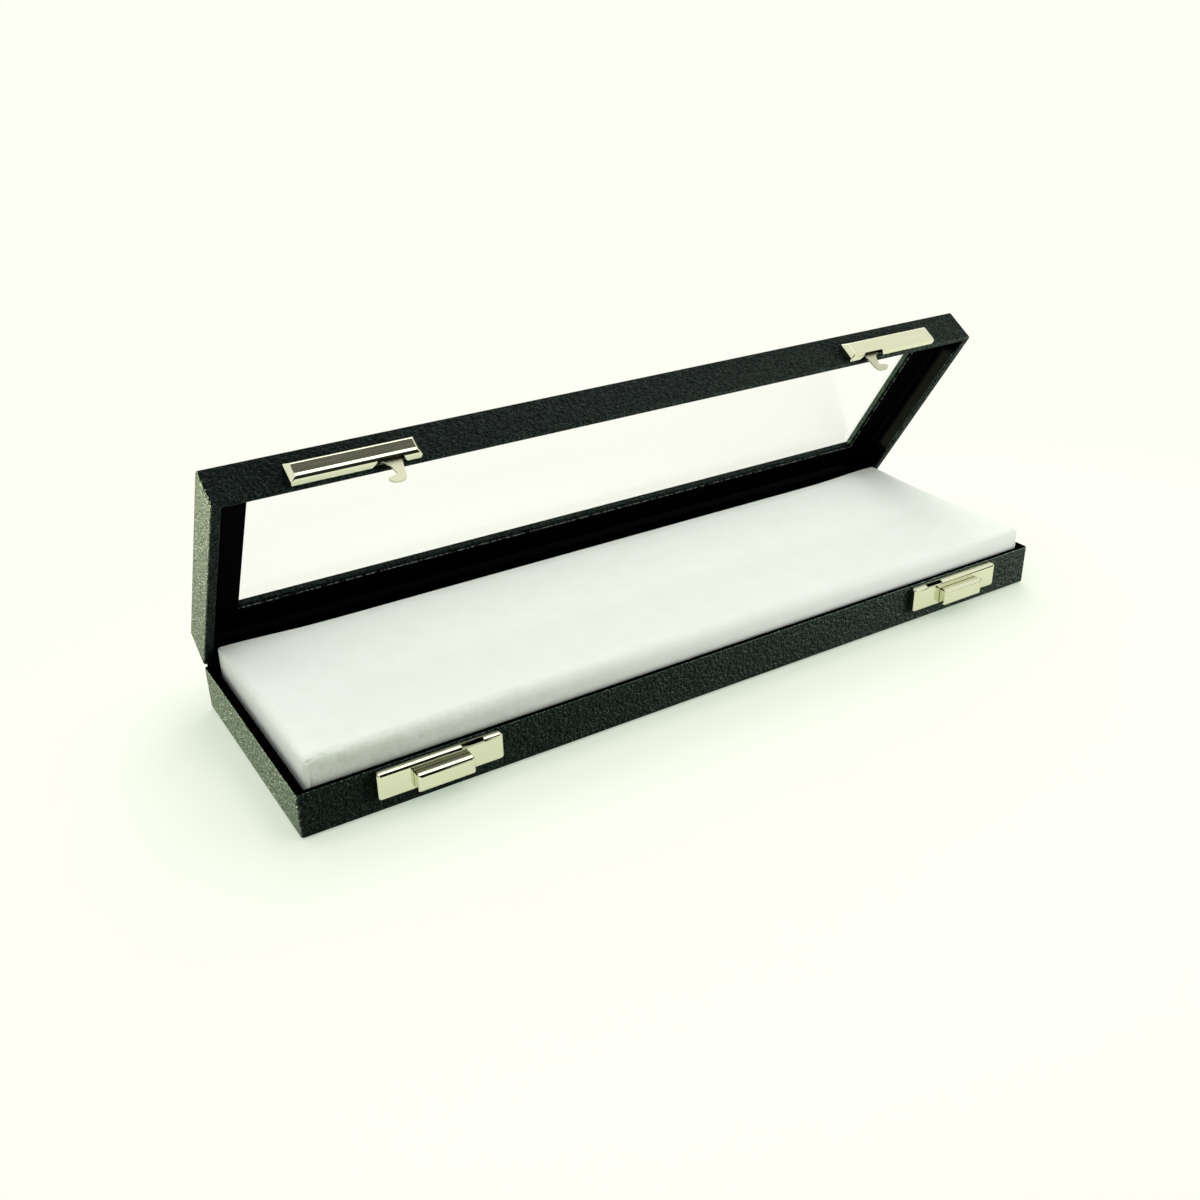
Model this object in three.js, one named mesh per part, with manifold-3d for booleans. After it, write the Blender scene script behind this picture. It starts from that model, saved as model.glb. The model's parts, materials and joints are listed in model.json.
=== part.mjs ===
// Gemstone display box: a low case in black leatherette with a glazed lid, a white
// padded insert and two sliding hook latches. The lid stands part open.
// Millimetres. X runs along the box, Y from its front to its hinge side, Z up.
// The origin is the centre of the underside, where the box rests.

import * as THREE from 'three';
import { mergeVertices } from 'three/addons/utils/BufferGeometryUtils.js';
import Module from 'manifold-3d';

// Driving dimensions of the box
const boxLength = 250;
const boxWidth = 73.2;
const baseHeight = 13.2;
const lidHeight = 11.35;
const lidOpenDegrees = 57.6;
const rimGap = 0.3;
const cornerRadius = 0.8;
const insideCornerRadius = 0.3;

// Sheet and board sizes
const skinThickness = 0.3;
const endBoardThickness = 1.9;
const sideBoardThickness = 0.9;
const boardCornerRadius = 0.4;
const bottomBoardThickness = 1.6;
const panelBoardThickness = 1;
const glassThickness = 1.2;
const innerFrameThickness = 0.4;
const liningThickness = 0.3;
const undersideSheetThickness = 0.4;
const bondGap = 0.1;

// Rounded edges of the wrap
const rimOuterRadius = 0.5;
const rimInnerRadius = 0.6;
const bottomEdgeRadius = 0.5;
const topEdgeRadius = 0.5;
const windowEdgeRadius = 0.4;

// Window and hems
const windowInset = 12;
const windowHemWidth = 4;
const hemInset = 9;
const undersideSheetInset = 2.4;

// Padded insert and its clearances in the base
const padGapLeft = 1.1;
const padGapRight = 0.9;
const padGapFront = 0.3;
const padGapBack = 1.2;
const padBoardThickness = 1.5;
const padFabricThickness = 0.3;
const padCornerRadius = 1.1;
const padShoulderAcross = 2.6;
const padShoulderRise = 3.2;
const padSideTop = 16.4;
const padCrown = 0.8;
const padHem = 9;
const cornerEasingShare = 0.5;
const crownEndShare = 0.25;

// Latches: where they sit, and how far each slider stands from its latched stop
const latchCentreFromEnd = { left: 37.1, right: 34.4 };
const sliderStandsOut = { left: 0, right: 1.5 };
const latchLength = 34.8;
const latchSheet = 0.4;
const seatGap = 0.05;
const slideGap = 0.15;

// Latch case on the base, with its heights above the table
const caseBottom = 4.8;
const caseTop = 12.4;
const caseProud = 2;
const caseEdgeRadius = 0.5;
const caseCornerRadius = 0.9;
const backPlateThickness = 0.35;
const windowStart = -5.9;
const windowEnd = 4.9;
const windowBottom = 6.1;
const windowTop = 9.2;
const hookSlotStart = 5.8;
const hookSlotEnd = 12.1;
const hookSlotBottom = 11.75;
const hookSlotBack = 0.65;

// Slider: a plate behind the case's face, a neck through its window and a button
const sliderPlateBack = 0.85;
const sliderPlateFront = 1.35;
const sliderPlateStart = -10.5;
const sliderPlateEnd = 5.75;
const tongueEnd = 7.9;
const tongueRootBottom = 9.55;
const tongueTipBottom = 10.35;
const tongueTop = 11.35;
const sliderTravel = 2.5;
const buttonStart = -7.8;
const buttonLength = 15.9;
const buttonBottom = 5;
const buttonTop = 10.15;
const buttonThickness = 2.3;
const buttonEdgeRadius = 0.6;

// Coil spring between the case's end and the slider's plate
const springCoilRadius = 0.42;
const springWireRadius = 0.09;
const springHeight = 9.6;
const springTurns = 7;

// Hook cover and hook plate on the lid, with their heights above the hinge line
const coverBottom = 0.65;
const coverTop = 6.8;
const coverProud = 2.9;
const coverBevelStart = 1.6;
const coverBevelSide = 1;
const coverBevelTop = 1.1;
const coverBend = 0.4;
const coverRoll = 1.8;
const ledgeOpening = { wallStart: 3, wallEnd: 13.9, frontStart: 5.1, frontEnd: 12.1 };
const hookPlateThickness = 0.5;
const hookPlateEndInset = 3.4;
const hookPlateBottom = 1.2;
const hookPlateTop = 5.3;
const hookRootTop = 4.6;
const hookSheet = 0.5;
const hookStart = 6.15;
const hookWidth = 5.65;
const hookDrop = 5.65;

// Pins that hold the latch plates to the walls
const pinRadius = 0.6;
const pinHeadRadius = 1;
const pinHeadHeight = 0.3;
const pinHoleGap = 0.1;
const casePinEndInset = 3.4;
const casePinHeights = [6.4, 8.6];
const hookPinEndInset = 5.4;
const hookPinBeforeHook = 3.15;
const hookPinHeight = 3.2;

// Hinge: the wrap's fold along the hinge line and the strip glued inside
const foldReach = 1.4;
const foldEndInset = 0.9;
const stripThickness = 0.3;
const stripGap = 0.15;
const stripEndInset = 4;
const stripDown = 6;
const stripUp = 5;
const stripRimClearance = 0.6;

// Facet counts
const cornerSteps = 5;
const edgeSteps = 4;
const coverSteps = 7;
const shoulderSteps = 7;
const crownSteps = 6;
const pinSides = 12;
const springSides = 5;
const springStepsPerTurn = 8;

// Overrun of every cutting tool
const overrun = 1;

const halfLength = boxLength / 2;
const halfWidth = boxWidth / 2;
const wallInset = skinThickness + bondGap;
const endWall = endBoardThickness + 2 * wallInset;
const sideWall = sideBoardThickness + 2 * wallInset;
const endBoardInner = endWall - wallInset;
const sideBoardInner = sideWall - wallInset;
const lidOpen = THREE.MathUtils.degToRad(lidOpenDegrees);
const lidRim = rimGap / 2;
const hingeHeight = baseHeight + rimGap / 2;
const halfLatch = latchLength / 2;
const pinPlaces = {
  case: [
    { along: casePinEndInset - halfLatch, height: casePinHeights[0] },
    { along: halfLatch - casePinEndInset, height: casePinHeights[1] },
  ],
  hook: [
    { along: hookPinEndInset - halfLatch, height: hookPinHeight },
    { along: hookStart - hookPinBeforeHook, height: hookPinHeight },
  ],
};

// Heights of what lies in the base
const hemTop = undersideSheetThickness + skinThickness;
const bottomBoardBase = hemTop + bondGap;
const bottomBoardTop = bottomBoardBase + bottomBoardThickness;
const floorLiningBase = bottomBoardTop + bondGap;
const padBase = floorLiningBase + liningThickness + bondGap;

// Heights of what lies in the lid, above its rim
const panelBoardTop = lidHeight - skinThickness - bondGap;
const panelBoardBase = panelBoardTop - panelBoardThickness;
const windowHemTop = panelBoardBase - bondGap;
const windowHemBase = windowHemTop - skinThickness;
const glassTop = windowHemBase - bondGap;
const glassBase = glassTop - glassThickness;
const innerFrameTop = glassBase - bondGap;
const innerFrameBase = innerFrameTop - innerFrameThickness;

const colours = {
  leatherette: { color: 0x16191a, roughness: 0.62, metalness: 0 },
  board: { color: 0x8d8474, roughness: 0.9, metalness: 0 },
  lining: { color: 0x101112, roughness: 0.85, metalness: 0 },
  fabric: { color: 0xeef1ee, roughness: 0.8, metalness: 0 },
  foam: { color: 0xe2ddcf, roughness: 0.95, metalness: 0 },
  glass: { color: 0xe6f0ea, roughness: 0.05, metalness: 0, transparent: true, opacity: 0.3 },
  plated: { color: 0xd9d8c4, roughness: 0.12, metalness: 1 },
};

const wasm = await Module();
wasm.setup();

const group = new THREE.Group();
const base = new THREE.Group();
const lid = new THREE.Group();
group.add(base, lid);
lid.position.set(0, halfWidth, hingeHeight);
lid.rotation.x = -lidOpen;

function addPiece(parent, name, geometry, colour) {
  const mesh = new THREE.Mesh(geometry, new THREE.MeshStandardMaterial(colours[colour]));
  mesh.name = name;
  parent.add(mesh);
  return mesh;
}

// Solids and meshes

function toSolid(geometry) {
  const bare = geometry.clone();
  bare.deleteAttribute('normal');
  bare.deleteAttribute('uv');
  const merged = mergeVertices(bare);
  const vertProperties = Float32Array.from(merged.attributes.position.array);
  const triVerts = Uint32Array.from(merged.index.array);
  return new wasm.Manifold(new wasm.Mesh({ numProp: 3, vertProperties, triVerts }));
}

function toGeometry(solid) {
  const mesh = solid.getMesh();
  const geometry = new THREE.BufferGeometry();
  geometry.setAttribute('position', new THREE.BufferAttribute(Float32Array.from(mesh.vertProperties), 3));
  geometry.setIndex(new THREE.BufferAttribute(Uint32Array.from(mesh.triVerts), 1));
  geometry.computeVertexNormals();
  return geometry;
}

function cutAway(geometry, ...tools) {
  let solid = toSolid(geometry);
  for (const tool of tools) solid = solid.subtract(toSolid(tool));
  return toGeometry(solid);
}

function joined(...geometries) {
  let solid = toSolid(geometries[0]);
  for (const other of geometries.slice(1)) solid = solid.add(toSolid(other));
  return toGeometry(solid);
}

function mirroredAlong(geometry) {
  const mirror = geometry.index ? geometry.toNonIndexed() : geometry.clone();
  const position = mirror.attributes.position;
  const flipped = [];
  for (let corner = 0; corner < position.count; corner += 3) {
    for (const step of [0, 2, 1]) {
      const at = corner + step;
      flipped.push(-position.getX(at), position.getY(at), position.getZ(at));
    }
  }
  const result = new THREE.BufferGeometry();
  result.setAttribute('position', new THREE.Float32BufferAttribute(flipped, 3));
  result.computeVertexNormals();
  return mergeVertices(result);
}

function boxBetween(xs, ys, zs) {
  const geometry = new THREE.BoxGeometry(xs[1] - xs[0], ys[1] - ys[0], zs[1] - zs[0]);
  return geometry.translate((xs[0] + xs[1]) / 2, (ys[0] + ys[1]) / 2, (zs[0] + zs[1]) / 2);
}

// A rounded rectangle at one height, counterclockwise from above
function rectangleLoop(xs, ys, radius, z) {
  const points = [];
  const corners = [
    [xs[1] - radius, ys[1] - radius, 0],
    [xs[0] + radius, ys[1] - radius, 1],
    [xs[0] + radius, ys[0] + radius, 2],
    [xs[1] - radius, ys[0] + radius, 3],
  ];
  for (const [x, y, quarter] of corners) {
    for (let step = 0; step <= cornerSteps; step += 1) {
      const angle = (quarter + step / cornerSteps) * Math.PI / 2;
      points.push(new THREE.Vector3(x + radius * Math.cos(angle), y + radius * Math.sin(angle), z));
    }
  }
  return points;
}

// Skins a stack of loops. A closed stack ends on its first loop, an open one on two flat caps.
function loft(loops, closed) {
  const count = loops[0].length;
  const positions = loops.flat().flatMap((point) => [point.x, point.y, point.z]);
  const index = [];
  const bands = closed ? loops.length : loops.length - 1;
  for (let band = 0; band < bands; band += 1) {
    const lower = band * count;
    const upper = ((band + 1) % loops.length) * count;
    for (let side = 0; side < count; side += 1) {
      const next = (side + 1) % count;
      index.push(lower + side, lower + next, upper + next);
      index.push(lower + side, upper + next, upper + side);
    }
  }
  if (!closed) {
    const last = (loops.length - 1) * count;
    for (let side = 1; side < count - 1; side += 1) {
      index.push(0, side + 1, side);
      index.push(last, last + side, last + side + 1);
    }
  }
  const geometry = new THREE.BufferGeometry();
  geometry.setAttribute('position', new THREE.Float32BufferAttribute(positions, 3));
  geometry.setIndex(index);
  geometry.computeVertexNormals();
  return geometry;
}

// Sections of the walls. A point is [face, distance, height]: its distance is taken into
// the wall from the box's outer face, or from the wall's inner face back towards the outer.

function quarterTurns(fromQuarter, toQuarter) {
  const angles = [];
  for (let step = 0; step <= edgeSteps; step += 1) {
    angles.push((fromQuarter + (toQuarter - fromQuarter) * step / edgeSteps) * Math.PI / 2);
  }
  return angles;
}

function outerArc(centre, height, radius, fromQuarter, toQuarter) {
  return quarterTurns(fromQuarter, toQuarter).map((angle) => (
    ['outer', centre + radius * Math.cos(angle), height + radius * Math.sin(angle)]));
}

function innerArc(centre, height, radius, fromQuarter, toQuarter) {
  return quarterTurns(fromQuarter, toQuarter).map((angle) => (
    ['inner', centre - radius * Math.cos(angle), height + radius * Math.sin(angle)]));
}

function boxLoop([face, distance, height]) {
  const ends = face === 'outer' ? distance : endWall - distance;
  const sides = face === 'outer' ? distance : sideWall - distance;
  return rectangleLoop(
    [ends - halfLength, halfLength - ends],
    [sides - halfWidth, halfWidth - sides],
    Math.max(cornerRadius - Math.min(ends, sides), insideCornerRadius),
    height,
  );
}

// A band round the box from the section of its wall
function boxRing(section) {
  return loft(section.map(boxLoop), true);
}

function boxSlab(face, distance, bottom, top) {
  return loft([boxLoop([face, distance, bottom]), boxLoop([face, distance, top])], false);
}

// Places of the latches. A latch is drawn as the left one: x runs towards the middle
// of the box, y up and z out from the front wall.

const latchSides = ['left', 'right'];

function latchX(side, along) {
  const fromMiddle = halfLength - latchCentreFromEnd[side] - along;
  return side === 'left' ? -fromMiddle : fromMiddle;
}

function forSide(side, geometry) {
  return side === 'left' ? geometry : mirroredAlong(geometry);
}

function latchFrame(side, frontY) {
  const frame = new THREE.Group();
  frame.position.set(latchX(side, 0), frontY, 0);
  frame.rotation.x = Math.PI / 2;
  return frame;
}

// Holes for the pins, through the wrap and into the front wall's board
function pinHoles(places, frontY) {
  const depth = sideBoardInner + overrun;
  const holes = [];
  for (const side of latchSides) {
    for (const { along, height } of places) {
      const hole = new THREE.CylinderGeometry(
        pinRadius + pinHoleGap, pinRadius + pinHoleGap, depth, pinSides);
      hole.translate(latchX(side, along), frontY + (sideBoardInner - overrun) / 2, height);
      holes.push(hole);
    }
  }
  return holes;
}

// Walls: front and back boards run the full length, the end boards stand between them

function longBoardShape() {
  const outer = halfWidth - wallInset;
  const inner = halfWidth - sideBoardInner;
  const end = halfLength - wallInset;
  const radius = boardCornerRadius;
  const shape = new THREE.Shape();
  shape.moveTo(-end, inner);
  shape.lineTo(end, inner);
  shape.lineTo(end, outer - radius);
  shape.absarc(end - radius, outer - radius, radius, 0, Math.PI / 2);
  shape.lineTo(radius - end, outer);
  shape.absarc(radius - end, outer - radius, radius, Math.PI / 2, Math.PI);
  shape.closePath();
  return shape;
}

function longBoard(bottom, top) {
  const geometry = new THREE.ExtrudeGeometry(
    longBoardShape(), { depth: top - bottom, bevelEnabled: false, curveSegments: cornerSteps });
  return geometry.translate(0, 0, bottom);
}

function addWalls(parent, prefix, bottom, top, places, drop) {
  const holes = pinHoles(places, -halfWidth).map((hole) => hole.translate(0, 0, -drop));
  const front = cutAway(longBoard(bottom, top).rotateZ(Math.PI), ...holes);
  const endReach = halfWidth - sideBoardInner - bondGap;
  addPiece(parent, `${prefix}_front_wall`, front, 'board');
  addPiece(parent, `${prefix}_back_wall`, longBoard(bottom, top), 'board');
  for (const [name, sign] of [['left', -1], ['right', 1]]) {
    const middle = sign * (halfLength - wallInset - endBoardThickness / 2);
    const end = boxBetween(
      [middle - endBoardThickness / 2, middle + endBoardThickness / 2],
      [-endReach, endReach], [bottom, top]);
    addPiece(parent, `${prefix}_${name}_wall`, end, 'board');
  }
}

// Base

function baseCoverSection() {
  const hemBase = undersideSheetThickness;
  return [
    ['outer', hemInset, hemBase],
    ...outerArc(bottomEdgeRadius, hemBase + bottomEdgeRadius, bottomEdgeRadius, 3, 2),
    ...outerArc(rimOuterRadius, baseHeight - rimOuterRadius, rimOuterRadius, 2, 1),
    ...innerArc(rimInnerRadius, baseHeight - rimInnerRadius, rimInnerRadius, 1, 0),
    ['inner', 0, bottomBoardTop + bondGap],
    ['inner', skinThickness, bottomBoardTop + bondGap],
    ['inner', skinThickness, baseHeight - skinThickness],
    ['outer', skinThickness, baseHeight - skinThickness],
    ['outer', skinThickness, hemTop],
    ['outer', hemInset, hemTop],
  ];
}

function addBase() {
  const holes = pinHoles(pinPlaces.case, -halfWidth);
  const foldCut = foldRoom([hingeHeight - foldReach - seatGap, hingeHeight]);
  addPiece(base, 'base_cover', cutAway(boxRing(baseCoverSection()), foldCut, ...holes), 'leatherette');
  const sheet = boxSlab('outer', undersideSheetInset, 0, undersideSheetThickness);
  addPiece(base, 'base_underside_sheet', sheet, 'lining');
  const bottom = boxSlab('outer', wallInset, bottomBoardBase, bottomBoardTop);
  addPiece(base, 'base_bottom_board', bottom, 'board');
  addWalls(base, 'base', bottomBoardTop + bondGap, baseHeight - wallInset, pinPlaces.case, 0);
  const floorLining = boxSlab('inner', -bondGap, floorLiningBase, floorLiningBase + liningThickness);
  addPiece(base, 'base_floor_lining', floorLining, 'lining');
}

// Padded insert

const padXs = [endWall + padGapLeft - halfLength, halfLength - endWall - padGapRight];
const padYs = [sideWall + padGapFront - halfWidth, halfWidth - sideWall - padGapBack];
const padHalfWidth = (padYs[1] - padYs[0]) / 2;

// Its upper surface from the side's top to the middle, drawn in by a thickness
function padLoop(inset, height, radius) {
  const reach = padHalfWidth - inset;
  return rectangleLoop(
    [padXs[0] + inset, padXs[1] - inset],
    [padYs[0] + inset, padYs[1] - inset],
    Math.min(radius, reach),
    height,
  );
}

function padTopLoops(drawnIn) {
  const loops = [];
  const across = padShoulderAcross - drawnIn;
  const rise = padShoulderRise - drawnIn;
  for (let step = 0; step <= shoulderSteps; step += 1) {
    const angle = step / shoulderSteps * Math.PI / 2;
    const inset = padShoulderAcross - across * Math.cos(angle);
    const height = padSideTop + rise * Math.sin(angle);
    loops.push(padLoop(inset, height, padCornerRadius + inset * cornerEasingShare));
  }
  const flatTop = padSideTop + rise;
  for (let step = 1; step <= crownSteps; step += 1) {
    const middleShare = step / (crownSteps + crownEndShare);
    const inset = padShoulderAcross + (padHalfWidth - padShoulderAcross) * middleShare;
    const swell = padCrown * (1 - (1 - middleShare) ** 2);
    loops.push(padLoop(inset, flatTop + swell, padCornerRadius + inset * cornerEasingShare));
  }
  return loops;
}

function addPad() {
  const boardBase = padBase + padFabricThickness + bondGap;
  const boardTop = boardBase + padBoardThickness;
  const inside = padFabricThickness;
  const within = padFabricThickness + bondGap;
  const outerLoops = padTopLoops(0).reverse();
  const innerLoops = padTopLoops(inside);
  const coverLoops = [
    ...outerLoops,
    padLoop(0, padBase + padFabricThickness, padCornerRadius),
    padLoop(padFabricThickness, padBase, padCornerRadius),
    padLoop(padHem, padBase, padCornerRadius),
    padLoop(padHem, padBase + padFabricThickness, padCornerRadius),
    padLoop(inside, padBase + padFabricThickness, padCornerRadius),
    ...innerLoops,
  ];
  addPiece(base, 'pad_cover', turnedOver(loft(coverLoops, false)), 'fabric');
  const foamLoops = [padLoop(within, boardTop + bondGap, padCornerRadius), ...padTopLoops(within)];
  addPiece(base, 'pad_foam', loft(foamLoops, false), 'foam');
  const boardLoops = [boardBase, boardTop].map((height) => padLoop(within, height, padCornerRadius));
  addPiece(base, 'pad_board', loft(boardLoops, false), 'board');
}

// A stack that runs downwards faces inwards, so each triangle is turned over
function turnedOver(geometry) {
  const index = geometry.index.array;
  for (let corner = 0; corner < index.length; corner += 3) {
    const kept = index[corner + 1];
    index[corner + 1] = index[corner + 2];
    index[corner + 2] = kept;
  }
  geometry.computeVertexNormals();
  return geometry;
}

// Latch halves on the base

function casedBlock(xs, ys, bottom, top, cornerR, edgeR) {
  const loops = [rectangleLoop(xs, ys, cornerR, bottom)];
  for (const [, inset, height] of outerArc(edgeR, top - edgeR, edgeR, 2, 1)) {
    loops.push(rectangleLoop(
      [xs[0] + inset, xs[1] - inset],
      [ys[0] + inset, ys[1] - inset],
      Math.max(cornerR - inset, insideCornerRadius),
      height,
    ));
  }
  return loft(loops, false);
}

function latchCase() {
  const shell = casedBlock(
    [-halfLatch, halfLatch], [caseBottom, caseTop], seatGap, caseProud, caseCornerRadius, caseEdgeRadius);
  const hollow = boxBetween(
    [latchSheet - halfLatch, halfLatch - latchSheet],
    [caseBottom + latchSheet, caseTop - latchSheet],
    [-overrun, caseProud - latchSheet],
  );
  const window = boxBetween(
    [windowStart, windowEnd], [windowBottom, windowTop], [sliderPlateFront, caseProud + overrun]);
  const slot = boxBetween(
    [hookSlotStart, hookSlotEnd], [hookSlotBottom, caseTop + overrun], [hookSlotBack, caseProud + overrun]);
  return cutAway(shell, hollow, window, slot);
}

function pinHoleInPlate({ along, height }, thickness) {
  const hole = new THREE.CylinderGeometry(
    pinRadius + pinHoleGap, pinRadius + pinHoleGap, thickness + 2 * overrun, pinSides);
  return hole.rotateX(Math.PI / 2).translate(along, height, thickness / 2);
}

function backPlate() {
  const half = halfLatch - latchSheet - seatGap;
  const plate = boxBetween(
    [-half, half],
    [caseBottom + latchSheet + seatGap, caseTop - latchSheet - seatGap],
    [seatGap, backPlateThickness],
  );
  return cutAway(plate, ...pinPlaces.case.map((place) => pinHoleInPlate(place, backPlateThickness)));
}

// The slider's plate has a tongue that reaches over the hook's nose
function latchSlider() {
  const bottom = caseBottom + latchSheet + slideGap;
  const top = caseTop - latchSheet - slideGap;
  const shape = new THREE.Shape();
  shape.moveTo(sliderPlateStart, bottom);
  shape.lineTo(sliderPlateEnd, bottom);
  shape.lineTo(sliderPlateEnd, tongueRootBottom);
  shape.lineTo(tongueEnd, tongueTipBottom);
  shape.lineTo(tongueEnd, tongueTop);
  shape.lineTo(sliderPlateEnd - slideGap, top);
  shape.lineTo(sliderPlateStart, top);
  shape.closePath();
  const plate = new THREE.ExtrudeGeometry(
    shape, { depth: sliderPlateFront - sliderPlateBack, bevelEnabled: false });
  plate.translate(0, 0, sliderPlateBack);
  const buttonBack = caseProud + slideGap;
  const button = casedBlock(
    [buttonStart, buttonStart + buttonLength], [buttonBottom, buttonTop],
    buttonBack, buttonBack + buttonThickness, buttonEdgeRadius, buttonEdgeRadius);
  const neck = boxBetween(
    [windowStart + sliderTravel + slideGap, windowEnd - slideGap],
    [windowBottom + slideGap, windowTop - slideGap],
    [(sliderPlateBack + sliderPlateFront) / 2, buttonBack + buttonThickness / 2],
  );
  return joined(plate, neck, button);
}

function pin(plateFront) {
  const headBase = plateFront + seatGap;
  const tip = pinHoleGap - sideBoardInner;
  const profile = [
    new THREE.Vector2(0, tip),
    new THREE.Vector2(pinRadius, tip),
    new THREE.Vector2(pinRadius, headBase),
    new THREE.Vector2(pinHeadRadius, headBase),
    new THREE.Vector2(pinHeadRadius, headBase + pinHeadHeight / 2),
    new THREE.Vector2(pinRadius, headBase + pinHeadHeight),
    new THREE.Vector2(0, headBase + pinHeadHeight),
  ];
  return new THREE.LatheGeometry(profile, pinSides).rotateX(Math.PI / 2);
}

function addPins(frame, name, side, places, plateFront) {
  places.forEach(({ along, height }, place) => {
    const mesh = addPiece(frame, `${name}_${side}_${place + 1}`, pin(plateFront), 'plated');
    mesh.position.set(side === 'left' ? along : -along, height, 0);
  });
}

class SpringCurve extends THREE.Curve {
  constructor(length) {
    super();
    this.length = length;
  }

  getPoint(share, target = new THREE.Vector3()) {
    const angle = share * springTurns * 2 * Math.PI;
    return target.set(
      share * this.length, springCoilRadius * Math.cos(angle), springCoilRadius * Math.sin(angle));
  }
}

function latchSpring(side) {
  const start = latchSheet + seatGap - halfLatch;
  const end = sliderPlateStart - sliderStandsOut[side] - seatGap;
  const wire = new THREE.Shape();
  wire.absarc(0, 0, springWireRadius, 0, 2 * Math.PI);
  const coil = new THREE.ExtrudeGeometry(wire, {
    extrudePath: new SpringCurve(end - start - 2 * springWireRadius),
    steps: springTurns * springStepsPerTurn,
    curveSegments: springSides,
    bevelEnabled: false,
  });
  const middle = (backPlateThickness + caseProud - latchSheet) / 2;
  return coil.translate(start + springWireRadius, springHeight, middle);
}

function addCaseHalf(side) {
  const frame = latchFrame(side, -halfWidth);
  base.add(frame);
  addPiece(frame, `latch_case_${side}`, forSide(side, latchCase()), 'plated');
  addPiece(frame, `latch_back_plate_${side}`, forSide(side, backPlate()), 'plated');
  const slider = addPiece(frame, `latch_slider_${side}`, forSide(side, latchSlider()), 'plated');
  slider.position.x = side === 'left' ? -sliderStandsOut.left : sliderStandsOut.right;
  addPiece(frame, `latch_spring_${side}`, forSide(side, latchSpring(side)), 'plated');
  addPins(frame, 'latch_pin', side, pinPlaces.case, backPlateThickness);
}

// Lid

function lidCoverSection() {
  const turnInTop = innerFrameBase - bondGap;
  const revealEdge = windowInset - windowEdgeRadius;
  return [
    ['inner', 0, turnInTop],
    ...innerArc(rimInnerRadius, rimInnerRadius, rimInnerRadius, 0, -1),
    ...outerArc(rimOuterRadius, rimOuterRadius, rimOuterRadius, 3, 2),
    ...outerArc(topEdgeRadius, lidHeight - topEdgeRadius, topEdgeRadius, 2, 1),
    ...outerArc(revealEdge, lidHeight - windowEdgeRadius, windowEdgeRadius, 1, 0),
    ['outer', windowInset, windowHemBase],
    ['outer', windowInset - windowHemWidth, windowHemBase],
    ['outer', windowInset - windowHemWidth, windowHemTop],
    ['outer', windowInset - skinThickness, windowHemTop],
    ['outer', windowInset - skinThickness, lidHeight - skinThickness],
    ['outer', skinThickness, lidHeight - skinThickness],
    ['outer', skinThickness, skinThickness],
    ['inner', skinThickness, skinThickness],
    ['inner', skinThickness, turnInTop],
  ];
}

// A flat frame from one inset to the window's
function frameRing(face, distance, windowSide, bottom, top) {
  return boxRing([
    [face, distance, bottom],
    [face, distance, top],
    ['outer', windowSide, top],
    ['outer', windowSide, bottom],
  ]);
}

function addLid() {
  const box = new THREE.Group();
  box.position.set(0, -halfWidth, lidRim);
  lid.add(box);
  const holes = pinHoles(pinPlaces.hook, -halfWidth).map((hole) => hole.translate(0, 0, -lidRim));
  const foldCut = foldRoom([-lidRim, foldReach + seatGap - lidRim]);
  addPiece(box, 'lid_cover', cutAway(boxRing(lidCoverSection()), foldCut, ...holes), 'leatherette');
  addWalls(box, 'lid', wallInset, panelBoardBase - bondGap, pinPlaces.hook, lidRim);
  const panelInner = windowInset - skinThickness - bondGap;
  const panel = frameRing('outer', wallInset, panelInner, panelBoardBase, panelBoardTop);
  addPiece(box, 'lid_window_board', panel, 'board');
  const paneX = halfLength - endBoardInner - bondGap;
  const paneY = halfWidth - sideBoardInner - bondGap;
  const pane = boxBetween([-paneX, paneX], [-paneY, paneY], [glassBase, glassTop]);
  addPiece(box, 'lid_glass', pane, 'glass');
  const innerFrame = frameRing('inner', skinThickness, windowInset, innerFrameBase, innerFrameTop);
  addPiece(box, 'lid_inner_frame', innerFrame, 'lining');
}

// Latch halves on the lid

// One loop of the hook cover: bevelled at its ends and top, rolled over at its bottom
function coverLoop(turn, sheet) {
  const rise = Math.sin(turn);
  const bend = 1 - Math.cos(turn);
  const ends = sheet + coverBevelSide * rise + coverBend * bend;
  const above = sheet + coverBevelTop * rise + coverBend * bend;
  const below = sheet + coverRoll * bend;
  return rectangleLoop(
    [ends - halfLatch, halfLatch - ends],
    [coverBottom + below, coverTop - above],
    insideCornerRadius,
    coverBevelStart + (coverProud - sheet - coverBevelStart) * rise,
  );
}

// A block of such loops, standing on its first loop's outline at the given depth
function coverBlock(sheet, depth) {
  const loops = [coverLoop(0, sheet).map((point) => point.setZ(depth))];
  for (let step = 0; step <= coverSteps; step += 1) {
    loops.push(coverLoop(step / coverSteps * Math.PI / 2, sheet));
  }
  return loft(loops, false);
}

function hookCover() {
  const inner = coverProud - latchSheet;
  const opening = new THREE.Shape();
  opening.moveTo(ledgeOpening.wallStart, -overrun);
  opening.lineTo(ledgeOpening.wallEnd, -overrun);
  opening.lineTo(ledgeOpening.frontEnd, inner);
  opening.lineTo(ledgeOpening.frontStart, inner);
  opening.closePath();
  const ledgeCut = new THREE.ExtrudeGeometry(
    opening, { depth: latchSheet + coverRoll + 2 * overrun, bevelEnabled: false });
  ledgeCut.rotateX(Math.PI / 2).translate(0, coverBottom + latchSheet + coverRoll + overrun, 0);
  return cutAway(coverBlock(0, seatGap), coverBlock(latchSheet, -overrun), ledgeCut);
}

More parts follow.
